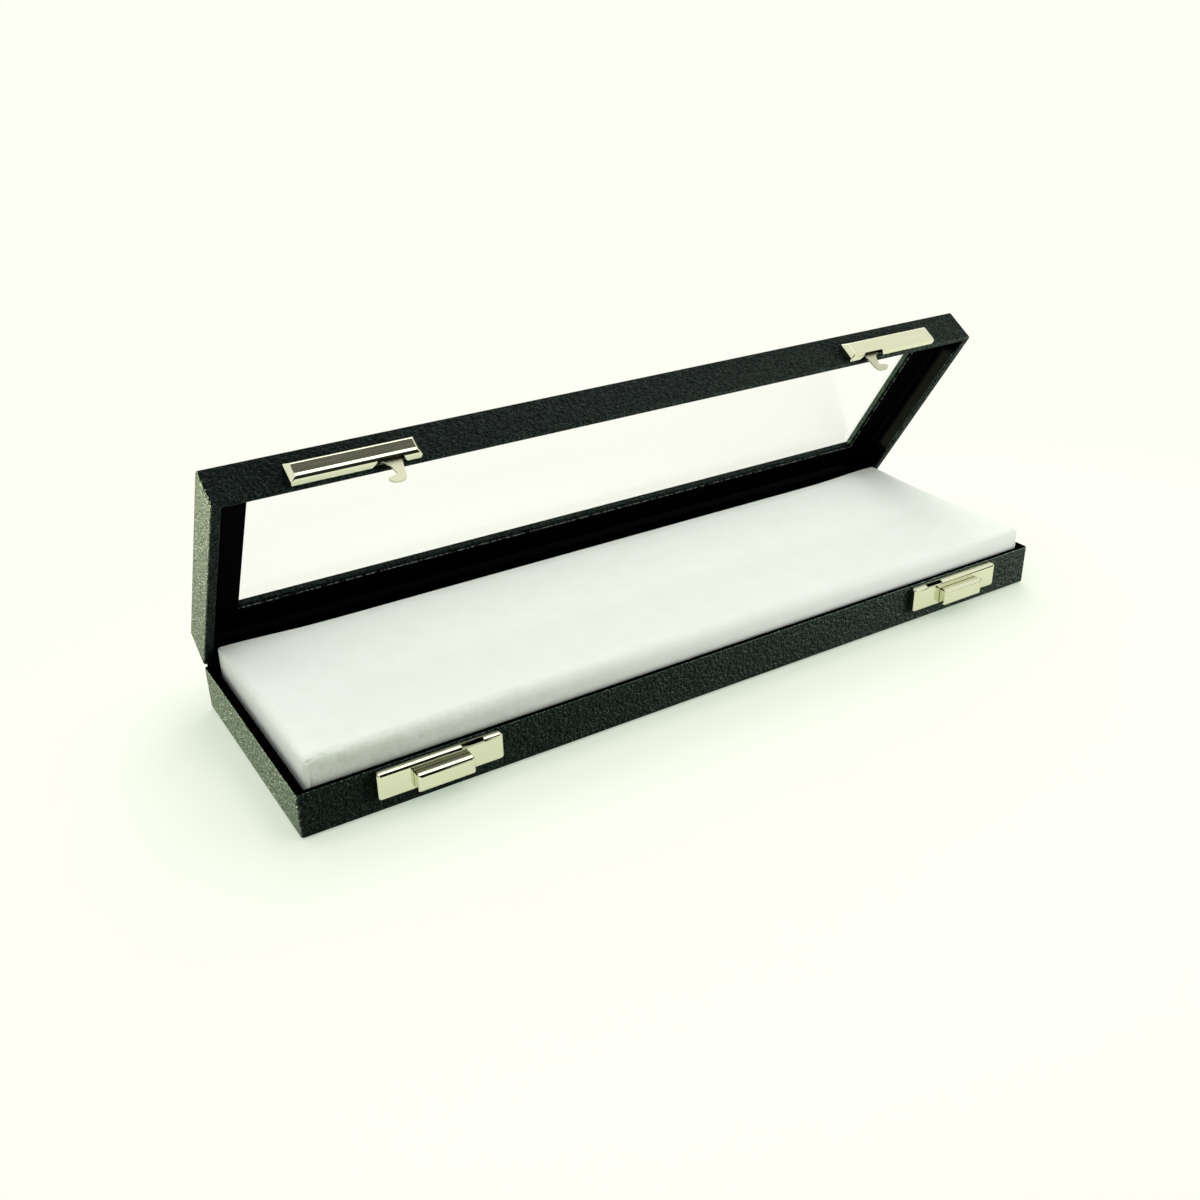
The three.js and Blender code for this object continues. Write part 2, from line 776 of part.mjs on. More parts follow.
// The hook's outline: shares of its width from the nose's tip and of its drop below the
// hinge line, from the flare inside the cover round the nose to the back of the shank
const hookOutlineShares = [
  [0.02, -0.3], [0.2, -0.1], [0.32, 0.05], [0.38, 0.2], [0.43, 0.4], [0.46, 0.53],
  [0.43, 0.58], [0.29, 0.62], [0.12, 0.655], [0.01, 0.7], [-0.01, 0.78], [0.03, 0.87],
  [0.13, 0.945], [0.28, 0.99], [0.49, 1], [0.67, 0.965], [0.79, 0.86], [0.835, 0.73],
  [0.895, 0.36], [0.96, 0], [1, -0.24],
];

function hookPlate() {
  const hookShape = new THREE.Shape(hookOutlineShares.map(([acrossShare, downShare]) => (
    new THREE.Vector2(hookStart + hookWidth * acrossShare, -hookDrop * downShare))));
  const hook = new THREE.ExtrudeGeometry(hookShape, { depth: hookSheet, bevelEnabled: false });
  hook.translate(0, 0, sliderPlateBack);
  const hookFront = sliderPlateBack + hookSheet;
  const plateBack = 2 * seatGap;
  const plate = boxBetween(
    [hookPlateEndInset - halfLatch, halfLatch - hookPlateEndInset], [hookPlateBottom, hookPlateTop],
    [plateBack, plateBack + hookPlateThickness]);
  const root = boxBetween(
    [hookStart + seatGap, hookStart + hookWidth], [hookPlateBottom, hookRootTop],
    [plateBack, hookFront]);
  const plateWithRoot = joined(plate, root, hook);
  const holes = pinPlaces.hook.map((place) => pinHoleInPlate(place, hookPlateThickness));
  return cutAway(plateWithRoot, ...holes);
}

function addHookHalf(side) {
  const frame = latchFrame(side, -boxWidth);
  lid.add(frame);
  addPiece(frame, `hook_cover_${side}`, forSide(side, hookCover()), 'plated');
  addPiece(frame, `hook_plate_${side}`, forSide(side, hookPlate()), 'plated');
  addPins(frame, 'hook_pin', side, pinPlaces.hook, 2 * seatGap + hookPlateThickness);
}

// Hinge

// Both strips are drawn in the plane across the hinge, from the base up into the lid.
function inLid(inward, above) {
  return new THREE.Vector2(
    halfWidth - inward * Math.cos(lidOpen) + above * Math.sin(lidOpen),
    hingeHeight + inward * Math.sin(lidOpen) + above * Math.cos(lidOpen),
  );
}

// A strip of even thickness along a bent middle line
function bentStrip(line, thickness, length) {
  const towards = line.slice(1).map((point, leg) => point.clone().sub(line[leg]).normalize());
  const sideOf = (sign) => line.map((point, corner) => {
    const before = towards[Math.max(corner - 1, 0)];
    const after = towards[Math.min(corner, towards.length - 1)];
    const across = new THREE.Vector2(-before.y - after.y, before.x + after.x).normalize();
    const mitre = across.x * -before.y + across.y * before.x;
    return point.clone().addScaledVector(across, sign * thickness / 2 / mitre);
  });
  const shape = new THREE.Shape([...sideOf(1), ...sideOf(-1).reverse()]);
  const strip = new THREE.ExtrudeGeometry(shape, { depth: length, bevelEnabled: false });
  return strip.translate(0, 0, -length / 2);
}

function addStrip(name, line, thickness, length, colour) {
  const mesh = addPiece(base, name, bentStrip(line, thickness, length), colour);
  mesh.rotation.set(Math.PI / 2, Math.PI / 2, 0);
}

// Room for the fold in a cover's back wall
function foldRoom(zs) {
  const reach = halfLength - foldEndInset;
  return boxBetween([-reach, reach], [halfWidth - skinThickness - seatGap, halfWidth + overrun], zs);
}

function addHingeFold() {
  const inset = skinThickness / 2;
  const line = [
    new THREE.Vector2(halfWidth - inset, hingeHeight - foldReach),
    new THREE.Vector2(halfWidth - inset, hingeHeight + inset * Math.tan(lidOpen / 2)),
    inLid(inset, foldReach),
  ];
  const length = boxLength - 2 * (foldEndInset + seatGap);
  addStrip('hinge_fold', line, skinThickness, length, 'leatherette');
}

function addHingeLining() {
  const inset = sideWall + stripGap + stripThickness / 2;
  const line = [
    new THREE.Vector2(halfWidth - inset, hingeHeight - lidRim - stripDown),
    new THREE.Vector2(halfWidth - inset, hingeHeight - lidRim - stripRimClearance),
    inLid(inset, lidRim + stripRimClearance),
    inLid(inset, lidRim + stripUp),
  ];
  addStrip('hinge_lining', line, stripThickness, boxLength - 2 * (endWall + stripEndInset), 'lining');
}

addBase();
addPad();
addHingeFold();
addHingeLining();
addLid();
for (const side of latchSides) {
  addCaseHalf(side);
  addHookHalf(side);
}

export default group;
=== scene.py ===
# Gemstone display box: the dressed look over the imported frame.
# Metres. X runs along the box, Y from its front to its hinge side, Z up.

import json
import math

import bmesh
import bpy
from mathutils import Matrix, Vector, noise
from mathutils.kdtree import KDTree

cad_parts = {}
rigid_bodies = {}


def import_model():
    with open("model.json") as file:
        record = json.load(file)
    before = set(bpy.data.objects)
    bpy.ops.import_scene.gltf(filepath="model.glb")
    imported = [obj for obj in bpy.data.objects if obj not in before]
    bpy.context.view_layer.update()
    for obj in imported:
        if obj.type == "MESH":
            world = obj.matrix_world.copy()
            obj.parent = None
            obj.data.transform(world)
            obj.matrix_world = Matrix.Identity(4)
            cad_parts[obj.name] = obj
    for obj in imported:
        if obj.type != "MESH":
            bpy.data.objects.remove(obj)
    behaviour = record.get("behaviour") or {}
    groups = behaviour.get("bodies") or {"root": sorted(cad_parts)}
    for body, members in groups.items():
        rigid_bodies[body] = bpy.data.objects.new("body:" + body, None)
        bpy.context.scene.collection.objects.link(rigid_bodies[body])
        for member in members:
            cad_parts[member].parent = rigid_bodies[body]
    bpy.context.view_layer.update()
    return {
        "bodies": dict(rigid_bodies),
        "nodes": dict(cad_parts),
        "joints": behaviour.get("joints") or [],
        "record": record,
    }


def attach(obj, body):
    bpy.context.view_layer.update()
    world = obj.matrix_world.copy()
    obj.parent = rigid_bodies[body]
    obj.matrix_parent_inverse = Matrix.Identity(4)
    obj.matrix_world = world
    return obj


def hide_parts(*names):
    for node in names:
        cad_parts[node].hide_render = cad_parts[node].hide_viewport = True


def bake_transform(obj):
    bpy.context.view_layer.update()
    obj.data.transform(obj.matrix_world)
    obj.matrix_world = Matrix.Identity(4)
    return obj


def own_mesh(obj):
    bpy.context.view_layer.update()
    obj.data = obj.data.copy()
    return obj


MM = 0.001

# The camera, fitted to the corners of the box in the photograph
CAMERA_PLACE = Vector((-0.1917, -0.2851, 0.1902))
CAMERA_AZIMUTH = math.radians(-31.49)
CAMERA_ELEVATION = math.radians(27.16)
CAMERA_ROLL = math.radians(-1.17)
CAMERA_LENS = 38.15
CAMERA_CLIP = (0.01, 20.0)
SENSOR_WIDTH = 36.0

# The white that the camera sees behind the box
BACKDROP_WHITE = (0.983, 0.991, 0.905)

# The box and its hinge as the solids have them, in millimetres
LID_OPEN = math.radians(57.6)
HALF_LENGTH = 125.0
HALF_WIDTH = 36.6
HINGE_HEIGHT = 13.35


def make_camera():
    data = bpy.data.cameras.new("camera")
    data.lens = CAMERA_LENS
    data.sensor_width = SENSOR_WIDTH
    data.clip_start, data.clip_end = CAMERA_CLIP
    camera = bpy.data.objects.new("camera", data)
    bpy.context.scene.collection.objects.link(camera)
    flat = math.cos(CAMERA_ELEVATION)
    back = Vector((
        math.sin(CAMERA_AZIMUTH) * flat,
        -math.cos(CAMERA_AZIMUTH) * flat,
        math.sin(CAMERA_ELEVATION),
    ))
    right = (-back).cross(Vector((0, 0, 1))).normalized()
    up = right.cross(-back)
    rolled_right = right * math.cos(CAMERA_ROLL) + up * math.sin(CAMERA_ROLL)
    rolled_up = up * math.cos(CAMERA_ROLL) - right * math.sin(CAMERA_ROLL)
    turn = Matrix((rolled_right, rolled_up, back)).transposed()
    camera.matrix_world = Matrix.Translation(CAMERA_PLACE) @ turn.to_4x4()
    bpy.context.scene.camera = camera


# Materials

CELL_SMOOTHNESS = 0.6


class Shader:
    """A new material whose Principled shader is ready, with short ways to add nodes."""

    def __init__(self, name):
        self.material = bpy.data.materials.new(name)
        self.material.use_nodes = True
        self.nodes = self.material.node_tree.nodes
        self.links = self.material.node_tree.links
        self.principled = self.nodes["Principled BSDF"]
        self.output = self.nodes["Material Output"]
        self.place = self.node("ShaderNodeTexCoord").outputs["Object"]

    def node(self, kind, **settings):
        node = self.nodes.new(kind)
        for key, value in settings.items():
            setattr(node, key, value)
        return node

    def link(self, source, target):
        self.links.new(source, target)

    def feed(self, name, source):
        self.link(source, self.principled.inputs[name])

    def set(self, **values):
        for key, value in values.items():
            socket = self.principled.inputs[key.replace("_", " ")]
            socket.default_value = (*value, 1.0) if isinstance(value, tuple) else value

    def noise(self, scale, detail=2.0, roughness=0.5, place=None):
        node = self.node("ShaderNodeTexNoise")
        node.inputs["Scale"].default_value = scale
        node.inputs["Detail"].default_value = detail
        node.inputs["Roughness"].default_value = roughness
        self.link(place or self.place, node.inputs["Vector"])
        return node.outputs["Fac"]

    def cells(self, scale, feature="SMOOTH_F1"):
        node = self.node("ShaderNodeTexVoronoi", feature=feature)
        node.inputs["Scale"].default_value = scale
        if feature == "SMOOTH_F1":
            node.inputs["Smoothness"].default_value = CELL_SMOOTHNESS
        self.link(self.place, node.inputs["Vector"])
        return node.outputs["Distance"]

    def math(self, operation, first, second):
        node = self.node("ShaderNodeMath", operation=operation)
        for value, socket in ((first, node.inputs[0]), (second, node.inputs[1])):
            if isinstance(value, (int, float)):
                socket.default_value = value
            else:
                self.link(value, socket)
        return node.outputs["Value"]

    def ramp(self, source, *stops):
        node = self.node("ShaderNodeValToRGB")
        elements = node.color_ramp.elements
        while len(elements) < len(stops):
            elements.new(0.5)
        for element, (position, colour) in zip(elements, stops):
            element.position = position
            element.color = (*colour, 1.0)
        self.link(source, node.inputs["Fac"])
        return node.outputs["Color"]

    def span(self, source, low, high, to_low, to_high):
        node = self.node("ShaderNodeMapRange")
        ends = {"From Min": low, "From Max": high, "To Min": to_low, "To Max": to_high}
        for key, value in ends.items():
            node.inputs[key].default_value = value
        self.link(source, node.inputs["Value"])
        return node.outputs["Result"]

    def bump(self, height, distance, strength=1.0):
        node = self.node("ShaderNodeBump")
        node.inputs["Strength"].default_value = strength
        node.inputs["Distance"].default_value = distance
        self.link(height, node.inputs["Height"])
        self.feed("Normal", node.outputs["Normal"])


def scaled(colour, factor):
    return tuple(part * factor for part in colour)


# The leatherette's grain, in features per metre, and its depth in millimetres
LEATHER_WANDER = 1400.0
LEATHER_PEBBLES = 1800.0
LEATHER_CRINKLE = 3600.0
LEATHER_LUMPS = 850.0
LEATHER_DEPTH = 0.26
# What the wander, the crinkle and the lumps count beside the pebbles in its relief. Its
# colours follow the same grain, with an offset and weaker lumps.
WANDER_WEIGHT = 0.8
CRINKLE_WEIGHT = 0.3
LUMPS_WEIGHT = 2.4
COLOUR_OFFSET = 0.45
COLOUR_LUMPS_WEIGHT = 0.9
# Its colours and where they stand from the grain's grooves to its crests; the dark of the grooves
# is painted shade
LEATHER_COLOURS = (
    (0.42, (0.0002, 0.0004, 0.0004)),
    (0.64, (0.001, 0.0018, 0.0016)),
    (0.88, (0.0055, 0.0088, 0.0078)),
)
LEATHER_TINT = (0.6, 1.0, 0.88)
# The grain from groove to crest and the roughness at each
LEATHER_ROUGHNESS = (0.35, 0.9, 0.6, 0.34)


def leatherette(name, specular, paleness=1.0):
    """Pebble-grained black leatherette, duller in its grooves and darkened there by painted shade.
    """
    shader = Shader(name)
    wander = shader.noise(LEATHER_WANDER, 3.0, 0.6)
    pebbles = shader.cells(LEATHER_PEBBLES)
    crinkle = shader.cells(LEATHER_CRINKLE, "F1")
    lumps = shader.noise(LEATHER_LUMPS, 1.0, 0.5)
    height = shader.math("SUBTRACT", shader.math("MULTIPLY", wander, WANDER_WEIGHT), pebbles)
    height = shader.math("SUBTRACT", height, shader.math("MULTIPLY", crinkle, CRINKLE_WEIGHT))
    lumpy = shader.math("ADD", height, shader.math("MULTIPLY", lumps, LUMPS_WEIGHT))
    shader.bump(lumpy, LEATHER_DEPTH * MM)
    # Its colour follows the grain: painted shade in the grooves, and random tone in the lumps
    grain = shader.math("ADD", height, COLOUR_OFFSET)
    grain = shader.math("ADD", grain, shader.math("MULTIPLY", lumps, COLOUR_LUMPS_WEIGHT))
    colours = [(position, scaled(colour, paleness)) for position, colour in LEATHER_COLOURS]
    shader.feed("Base Color", shader.ramp(grain, *colours))
    shader.feed("Roughness", shader.span(grain, *LEATHER_ROUGHNESS))
    shader.set(Specular_IOR_Level=specular, Specular_Tint=LEATHER_TINT)
    return shader.material


def matt(name, grain, colours, bump, **finish):
    """A matt material whose colours and bumps follow one fine grain.

    The colours have their places on the grain, from 0 to 1, and the bump its depth in
    millimetres and its strength.
    """
    shader = Shader(name)
    fine = grain(shader)
    depth, strength = bump
    shader.feed("Base Color", shader.ramp(fine, *colours))
    shader.bump(fine, depth * MM, strength)
    shader.set(**finish)
    return shader.material


def lining():
    """Matt black paper lining with a fine tooth; on the lid's inner walls it is painted shade."""
    colours = (0.3, (0.0001, 0.0002, 0.0002)), (0.75, (0.0005, 0.0008, 0.0008))
    return matt("black_lining_and_painted_shade", lambda shader: shader.noise(4200.0, 3.0, 0.7), colours, (0.04, 0.6),
                Roughness=0.85, Specular_IOR_Level=0.02)


def frame_edge_highlight():
    """A pale painted highlight along the edge of the frame's opening, broken by dark blotches."""
    colours = (0.44, (0.002, 0.003, 0.003)), (0.56, (0.16, 0.18, 0.17))
    return matt("frame_edge_highlight", lambda shader: shader.noise(900.0, 2.0, 0.5), colours, (0.05, 0.5),
                Roughness=0.9, Specular_IOR_Level=0.1)


def board():
    """Grey pulp board, hidden under the wrap."""
    colours = (0.3, (0.28, 0.25, 0.2)), (0.7, (0.4, 0.36, 0.3))
    return matt("pulp_board", lambda shader: shader.noise(1500.0, 4.0, 0.7), colours, (0.06, 0.5),
                Roughness=0.95)


def foam():
    """Pale foam with open pores, hidden under the fabric."""
    colours = (0.1, (0.72, 0.7, 0.62)), (0.7, (0.84, 0.82, 0.75))
    return matt("foam", lambda shader: shader.cells(1400.0, "F1"), colours, (0.15, 0.6),
                Roughness=1.0)


# The white fabric's tones, and the painted shade along its front edge: its range along Y and,
# fading to the right, along X in millimetres
FABRIC_TONES = ((0.3, (0.82, 0.875, 0.81)), (0.7, (0.86, 0.905, 0.85)))
PAINTED_SHADE_TONES = ((0.0, (1.0, 1.0, 1.0)), (1.0, (0.66, 0.69, 0.62)))
PAINTED_SHADE_Y = (-34.9, -30.5)
PAINTED_SHADE_X = (-100.0, 0.0)
SHADE_BLOTCHES = 420.0
FABRIC_MOTTLE = 140.0
FABRIC_FIBRE = 3600.0
# From which noise to which the painted shade is blotched, and how strong it is at each
BLOTCH_SPAN = (0.35, 0.7, 0.5, 1.0)
# How much the mottling counts beside the fibres in the relief, and the relief's depth in
# millimetres and its strength
MOTTLE_WEIGHT = 1.6
FABRIC_DEPTH = 0.03
FABRIC_RELIEF = 0.6


def white_fabric():
    """Smooth white fabric with a barely visible weave and soft mottling, darkened by painted shade
    along its front edge.
    """
    shader = Shader("white_fabric")
    mottle = shader.noise(FABRIC_MOTTLE, 5.0, 0.65)
    fibre = shader.noise(FABRIC_FIBRE, 4.0, 0.75)
    parts = shader.node("ShaderNodeSeparateXYZ")
    shader.link(shader.place, parts.inputs[0])
    # Painted shade: the fabric's colour darkens along its front edge, most at the left, in blotches
    near_front = shader.span(parts.outputs["Y"], *scaled(PAINTED_SHADE_Y, MM), 1.0, 0.0)
    near_left = shader.span(parts.outputs["X"], *scaled(PAINTED_SHADE_X, MM), 1.0, 0.0)
    painted_shade_mask = shader.math("MULTIPLY", near_front, near_left)
    blotches = shader.span(shader.noise(SHADE_BLOTCHES, 4.0, 0.7), *BLOTCH_SPAN)
    blotched_shade = shader.math("MULTIPLY", painted_shade_mask, blotches)
    clean = shader.ramp(mottle, *FABRIC_TONES)
    shade = shader.ramp(blotched_shade, *PAINTED_SHADE_TONES)
    painted_shade_mix = shader.node("ShaderNodeMix", data_type="RGBA", blend_type="MULTIPLY")
    painted_shade_mix.inputs["Factor"].default_value = 1.0
    shader.link(clean, painted_shade_mix.inputs["A"])
    shader.link(shade, painted_shade_mix.inputs["B"])
    shader.feed("Base Color", painted_shade_mix.outputs["Result"])
    height = shader.math("ADD", shader.math("MULTIPLY", mottle, MOTTLE_WEIGHT), fibre)
    shader.bump(height, FABRIC_DEPTH * MM, FABRIC_RELIEF)
    shader.set(Roughness=0.9, Specular_IOR_Level=0.2, Sheen_Weight=0.15, Sheen_Roughness=0.5)
    return shader.material


# Nickel: its tones between and on the drawn streaks, how far the streaks are drawn out,
# and how much duller than the rest the rubbed flat tops are
NICKEL_TONES = ((0.3, (0.71, 0.72, 0.53)), (0.7, (0.76, 0.77, 0.58)))
STREAK_STRETCH = (60.0, 3000.0, 3000.0)
STREAK_DULLNESS = 0.04
RUBBED_DULLNESS = 0.24
RUBBED_FACING = (0.97, 0.99)
# Its waves, how much the streaks count beside them in the relief, and the relief's depth
# in millimetres and its strength
METAL_WAVES = 160.0
STREAK_WEIGHT = 0.05
METAL_DEPTH = 0.015
METAL_RELIEF = 0.5


def plated_metal(name, roughness, paleness):
    """Bright nickel plate with faint drawn streaks, duller where it lies flat and gets rubbed."""
    shader = Shader(name)
    stretch = shader.node("ShaderNodeMapping")
    stretch.inputs["Scale"].default_value = STREAK_STRETCH
    shader.link(shader.place, stretch.inputs["Vector"])
    streaks = shader.noise(1.0, 3.0, 0.6, stretch.outputs["Vector"])
    waves = shader.noise(METAL_WAVES, 2.0, 0.5)
    height = shader.math("ADD", waves, shader.math("MULTIPLY", streaks, STREAK_WEIGHT))
    shader.bump(height, METAL_DEPTH * MM, METAL_RELIEF)
    facing = shader.node("ShaderNodeSeparateXYZ")
    shader.link(shader.node("ShaderNodeTexCoord").outputs["Normal"], facing.inputs[0])
    rubbed = shader.span(facing.outputs["Z"], *RUBBED_FACING, 0.0, RUBBED_DULLNESS)
    dullness = shader.span(streaks, 0.3, 0.7, roughness, roughness + STREAK_DULLNESS)
    shader.feed("Roughness", shader.math("ADD", dullness, rubbed))
    tones = [(position, scaled(colour, paleness)) for position, colour in NICKEL_TONES]
    shader.feed("Base Color", shader.ramp(streaks, *tones))
    shader.set(Metallic=1.0)
    return shader.material


# The glass: its index of refraction and its waves, in features per metre, with their depth
# in millimetres and their strength
GLASS_INDEX = 1.3
GLASS_WAVES = 20.0
GLASS_DEPTH = 0.004
GLASS_RELIEF = 0.2


def clear_glass():
    """Clear sheet glass with the faintest waves, which lets lamps through."""
    shader = Shader("clear_glass")
    shader.set(Base_Color=(1.0, 1.0, 1.0), Roughness=0.0, Transmission_Weight=1.0,
               IOR=GLASS_INDEX)
    waves = shader.noise(GLASS_WAVES, 1.0, 0.4)
    shader.bump(waves, GLASS_DEPTH * MM, GLASS_RELIEF)
    light_path = shader.node("ShaderNodeLightPath")
    through = shader.node("ShaderNodeBsdfTransparent")
    mix = shader.node("ShaderNodeMixShader")
    shader.link(light_path.outputs["Is Shadow Ray"], mix.inputs["Fac"])
    shader.link(shader.principled.outputs["BSDF"], mix.inputs[1])
    shader.link(through.outputs["BSDF"], mix.inputs[2])
    shader.link(mix.outputs["Shader"], shader.output.inputs["Surface"])
    return shader.material


# Pieces

def new_piece(name, mesh, material):
    piece = bpy.data.objects.new(name, mesh)
    bpy.context.scene.collection.objects.link(piece)
    mesh.materials.clear()
    mesh.materials.append(material)
    return piece


def mesh_of(name, points, faces, smooth=True):
    """A mesh from points in millimetres."""
    mesh = bpy.data.meshes.new(name)
    mesh.from_pydata([tuple(value * MM for value in point) for point in points], [], faces)
    mesh.validate()
    for polygon in mesh.polygons:
        polygon.use_smooth = smooth
    mesh.update()
    return mesh


def apply_modifiers(piece):
    depsgraph = bpy.context.evaluated_depsgraph_get()
    finished = bpy.data.meshes.new_from_object(piece.evaluated_get(depsgraph))
    piece.modifiers.clear()
    piece.data = finished


# How far large faces outweigh small ones in the shading: 50 is not at all, 100 the most
FLATS_WEIGHT = 100


def keep_flats(piece):
    """Shades the piece so that its large faces look flat and its small ones round."""
    weighted = piece.modifiers.new("flats", "WEIGHTED_NORMAL")
    weighted.weight = FLATS_WEIGHT


# Easing: the distance that is welded in metres, the bends taken as flat and as sharp, and
# the steps of an eased edge
WELD = 0.000001
FLAT_ANGLE = math.radians(0.4)
SHARP_ANGLE = math.radians(32)
EASED_STEPS = 3

# The lid's hollow, above its hinge line and between its inner walls
HOLLOW_HEIGHTS = (1.0, 8.0)
HOLLOW_HALF_LENGTH = 122.4
HOLLOW_INWARD = (1.6, 71.6)

# The frame's opening, in from the lid's outside, and how far off its edge a face may lie
WINDOW_INSET = 12.0
OPENING_SLACK = 0.05


def lid_place(place):
    """How far a place lies from the hinge line along the lid and above its rim's plane."""
    from_hinge = place.y - HALF_WIDTH
    risen = place.z - HINGE_HEIGHT
    inward = risen * math.sin(LID_OPEN) - from_hinge * math.cos(LID_OPEN)
    above = risen * math.cos(LID_OPEN) + from_hinge * math.sin(LID_OPEN)
    return inward, above


def in_frame_opening(place, _):
    """Whether a face is the cut edge of the inner frame's opening."""
    inward, _ = lid_place(place)
    from_edge = min(HALF_LENGTH - abs(place.x), inward, 2 * HALF_WIDTH - inward)
    return abs(from_edge - WINDOW_INSET) < OPENING_SLACK


def in_lid_hollow(place, _):
    """Whether a face is on the lid's inner walls."""
    inward, above = lid_place(place)
    between_ends = abs(place.x) < HOLLOW_HALF_LENGTH
    between_walls = HOLLOW_INWARD[0] < inward < HOLLOW_INWARD[1]
    return between_ends and between_walls and HOLLOW_HEIGHTS[0] < above < HOLLOW_HEIGHTS[1]


# The base's rim: from what height, how steep its top still is, and its front edge
RIM_FROM = HINGE_HEIGHT - 0.75
RIM_FACING = 0.6
EDGE_FACING = 0.3
EDGE_WIDTH = 0.6


def on_base_rim(place, facing):
    """Whether a face is on top of the base's rim."""
    return place.z > RIM_FROM and facing.z > RIM_FACING


def on_rim_edge(place, facing):
    """Whether a face is on the rounded edge over the base's front."""
    at_front = place.y < -HALF_WIDTH + EDGE_WIDTH
    return place.z > RIM_FROM and at_front and EDGE_FACING < facing.z <= RIM_FACING


# The latch's rounded front edges: the radius that they have and what is added to it
ROUNDER = {"latch_case": (0.5, 0.4), "latch_slider": (0.6, 0.4)}
# How far off the rounded edge a point may lie, as a share of its radius
ROUND_SLACK = 0.04


def rounder_front(mesh, radius, extra):
    """The rounded edge between the front and the top of a pressed sheet, made wider."""
    radius *= MM
    extra *= MM
    points = [vertex.co for vertex in mesh.vertices]
    centre_y = min(point.y for point in points) + radius
    in_front = [point.z for point in points if point.y < centre_y + ROUND_SLACK * radius]
    centre_z = max(in_front) - radius
    for point in points:
        across = (centre_y - point.y) / radius
        up = (point.z - centre_z) / radius
        on_edge = abs(math.hypot(across, up) - 1) < ROUND_SLACK
        if on_edge and min(across, up) > -ROUND_SLACK / 2:
            point.y += extra * (1 - min(max(across, 0.0), 1.0))
            point.z -= extra * (1 - min(max(up, 0.0), 1.0))


def kind_of(name):
    """A node's name without its side."""
    return name.removesuffix("_left").removesuffix("_right")


def eased(node, name, body, material, width, other_finishes):
    """A copy of a CAD piece with its sharp edges eased, shown in the piece's place."""
    mesh = node.data.copy()
    if kind_of(name) in ROUNDER:
        rounder_front(mesh, *ROUNDER[kind_of(name)])
    bm = bmesh.new()
    bm.from_mesh(mesh)
    bmesh.ops.remove_doubles(bm, verts=bm.verts, dist=WELD)
    bmesh.ops.dissolve_limit(bm, angle_limit=FLAT_ANGLE, verts=bm.verts, edges=bm.edges)
    for face in bm.faces:
        face.smooth = True
    bm.to_mesh(mesh)
    bm.free()
    piece = new_piece(name + "_eased", mesh, material)
    for place, (other_material, has_it) in enumerate(other_finishes):
        mesh.materials.append(other_material)
        for polygon in mesh.polygons:
            if has_it(polygon.center / MM, polygon.normal):
                polygon.material_index = place + 1
    bevel = piece.modifiers.new("ease", "BEVEL")
    bevel.width = width * MM
    bevel.segments = EASED_STEPS
    bevel.limit_method = "ANGLE"
    bevel.angle_limit = SHARP_ANGLE
    keep_flats(piece)
    apply_modifiers(piece)
    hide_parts(name)
    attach(piece, body)


# Padded insert, in millimetres, inside the space of its CAD cover
PAD_X = (-121.15, 121.35)
PAD_Y = (-34.55, 33.65)
PAD_TOP = 19.75
PAD_BASE = 3.0
# Its mesh: how far the fine part reaches in, the steps there and between, how the fine
# steps crowd towards the edge, and its levels
PAD_FINE = 7.0
PAD_FINE_STEP = 0.3
PAD_STEP_X = 1.0
PAD_STEP_Y = 1.2
PAD_CROWDING = 1.25
PAD_LEVELS = 14
# The fabric is tight up to this far from a corner, and loose this far on from there along
# the long sides and along the ends
TIGHT_TO = 1.5
LOOSE_ALONG = 30
LOOSE_ACROSS = 18
# How wide and how deep its edges are rounded where it is tight, each with what is added
# where it is loose, and how squarely the two roundings meet in a corner
SIDE_ROUNDING = ((1.0, 2.2), (0.9, 2.0))
END_ROUNDING = ((1.0, 1.2), (0.9, 1.1))
CORNER_POWER = 3
# The crown of its top, lower where the simulation adds its own, and how far from a side
# and from an end it is reached
PAD_CROWN = 0.38
CROWN_FROM_SIDE = 30
CROWN_FROM_END = 40
# The fabric's waves: how high they are in millimetres, how closely they follow each other
# per millimetre along a face and across it, and their layer of the noise. Those of the top
# are full this far from its edges.
TOP_WAVES = [(0.08, 0.035, 0.06, 3.7), (0.04, 0.11, 0.16, 9.1)]
FRONT_WAVES = [(0.05, 0.5, 0.12, 4.4), (0.04, 0.16, 0.2, 1.4)]
BACK_WAVES = [(0.05, 0.5, 0.12, 8.3), (0.04, 0.16, 0.2, 1.4)]
END_WAVES = [(0.08, 0.3, 0.15, 6.0)]
WAVES_FROM_EDGE = 6


def spaced(low, high, fine, fine_step, coarse_step):
    """Values from low to high, close together near both ends."""
    edge_count = round(fine / fine_step)
    between = high - low - 2 * fine
    middle_count = max(round(between / coarse_step), 1)
    edge = [fine * (step / edge_count) ** PAD_CROWDING for step in range(edge_count)]
    middle = [low + fine + between * step / middle_count for step in range(middle_count + 1)]
    return [low + value for value in edge] + middle + [high - value for value in reversed(edge)]


def ease(value):
    """From 0 to 1, gently at both ends."""
    value = min(max(value, 0.0), 1.0)
    return value * value * (3 - 2 * value)


def rounding(distance, loose, sizes):
    """How far a rounded edge lies under its top, at a distance from its side.

    Loose runs from 0, where the fabric is tight, to 1.
    """
    (tight_across, more_across), (tight_drop, more_drop) = sizes
    across = tight_across + more_across * loose
    drop = tight_drop + more_drop * loose
    if distance >= across:
        return 0.0
    return drop * (1 - math.sqrt(max(1 - (1 - distance / across) ** 2, 0.0)))


# The pad's cloth simulation: how far inside the pad it starts, up to what height it is
# held, its mesh and pressure, the most that a point may move, and what a point averages
CLOTH_INSET = 0.4
CLOTH_HELD = 3.0
CLOTH_VOXEL = 4.5
CLOTH_QUALITY = 6
CLOTH_PRESSURE = 4.0
CLOTH_FRAMES = 20
CLOTH_MOST_UP = 0.22
CLOTH_MOST_OUT = 0.1
CLOTH_REACH = 9.0
CLOTH_FALLOFF = 2.2


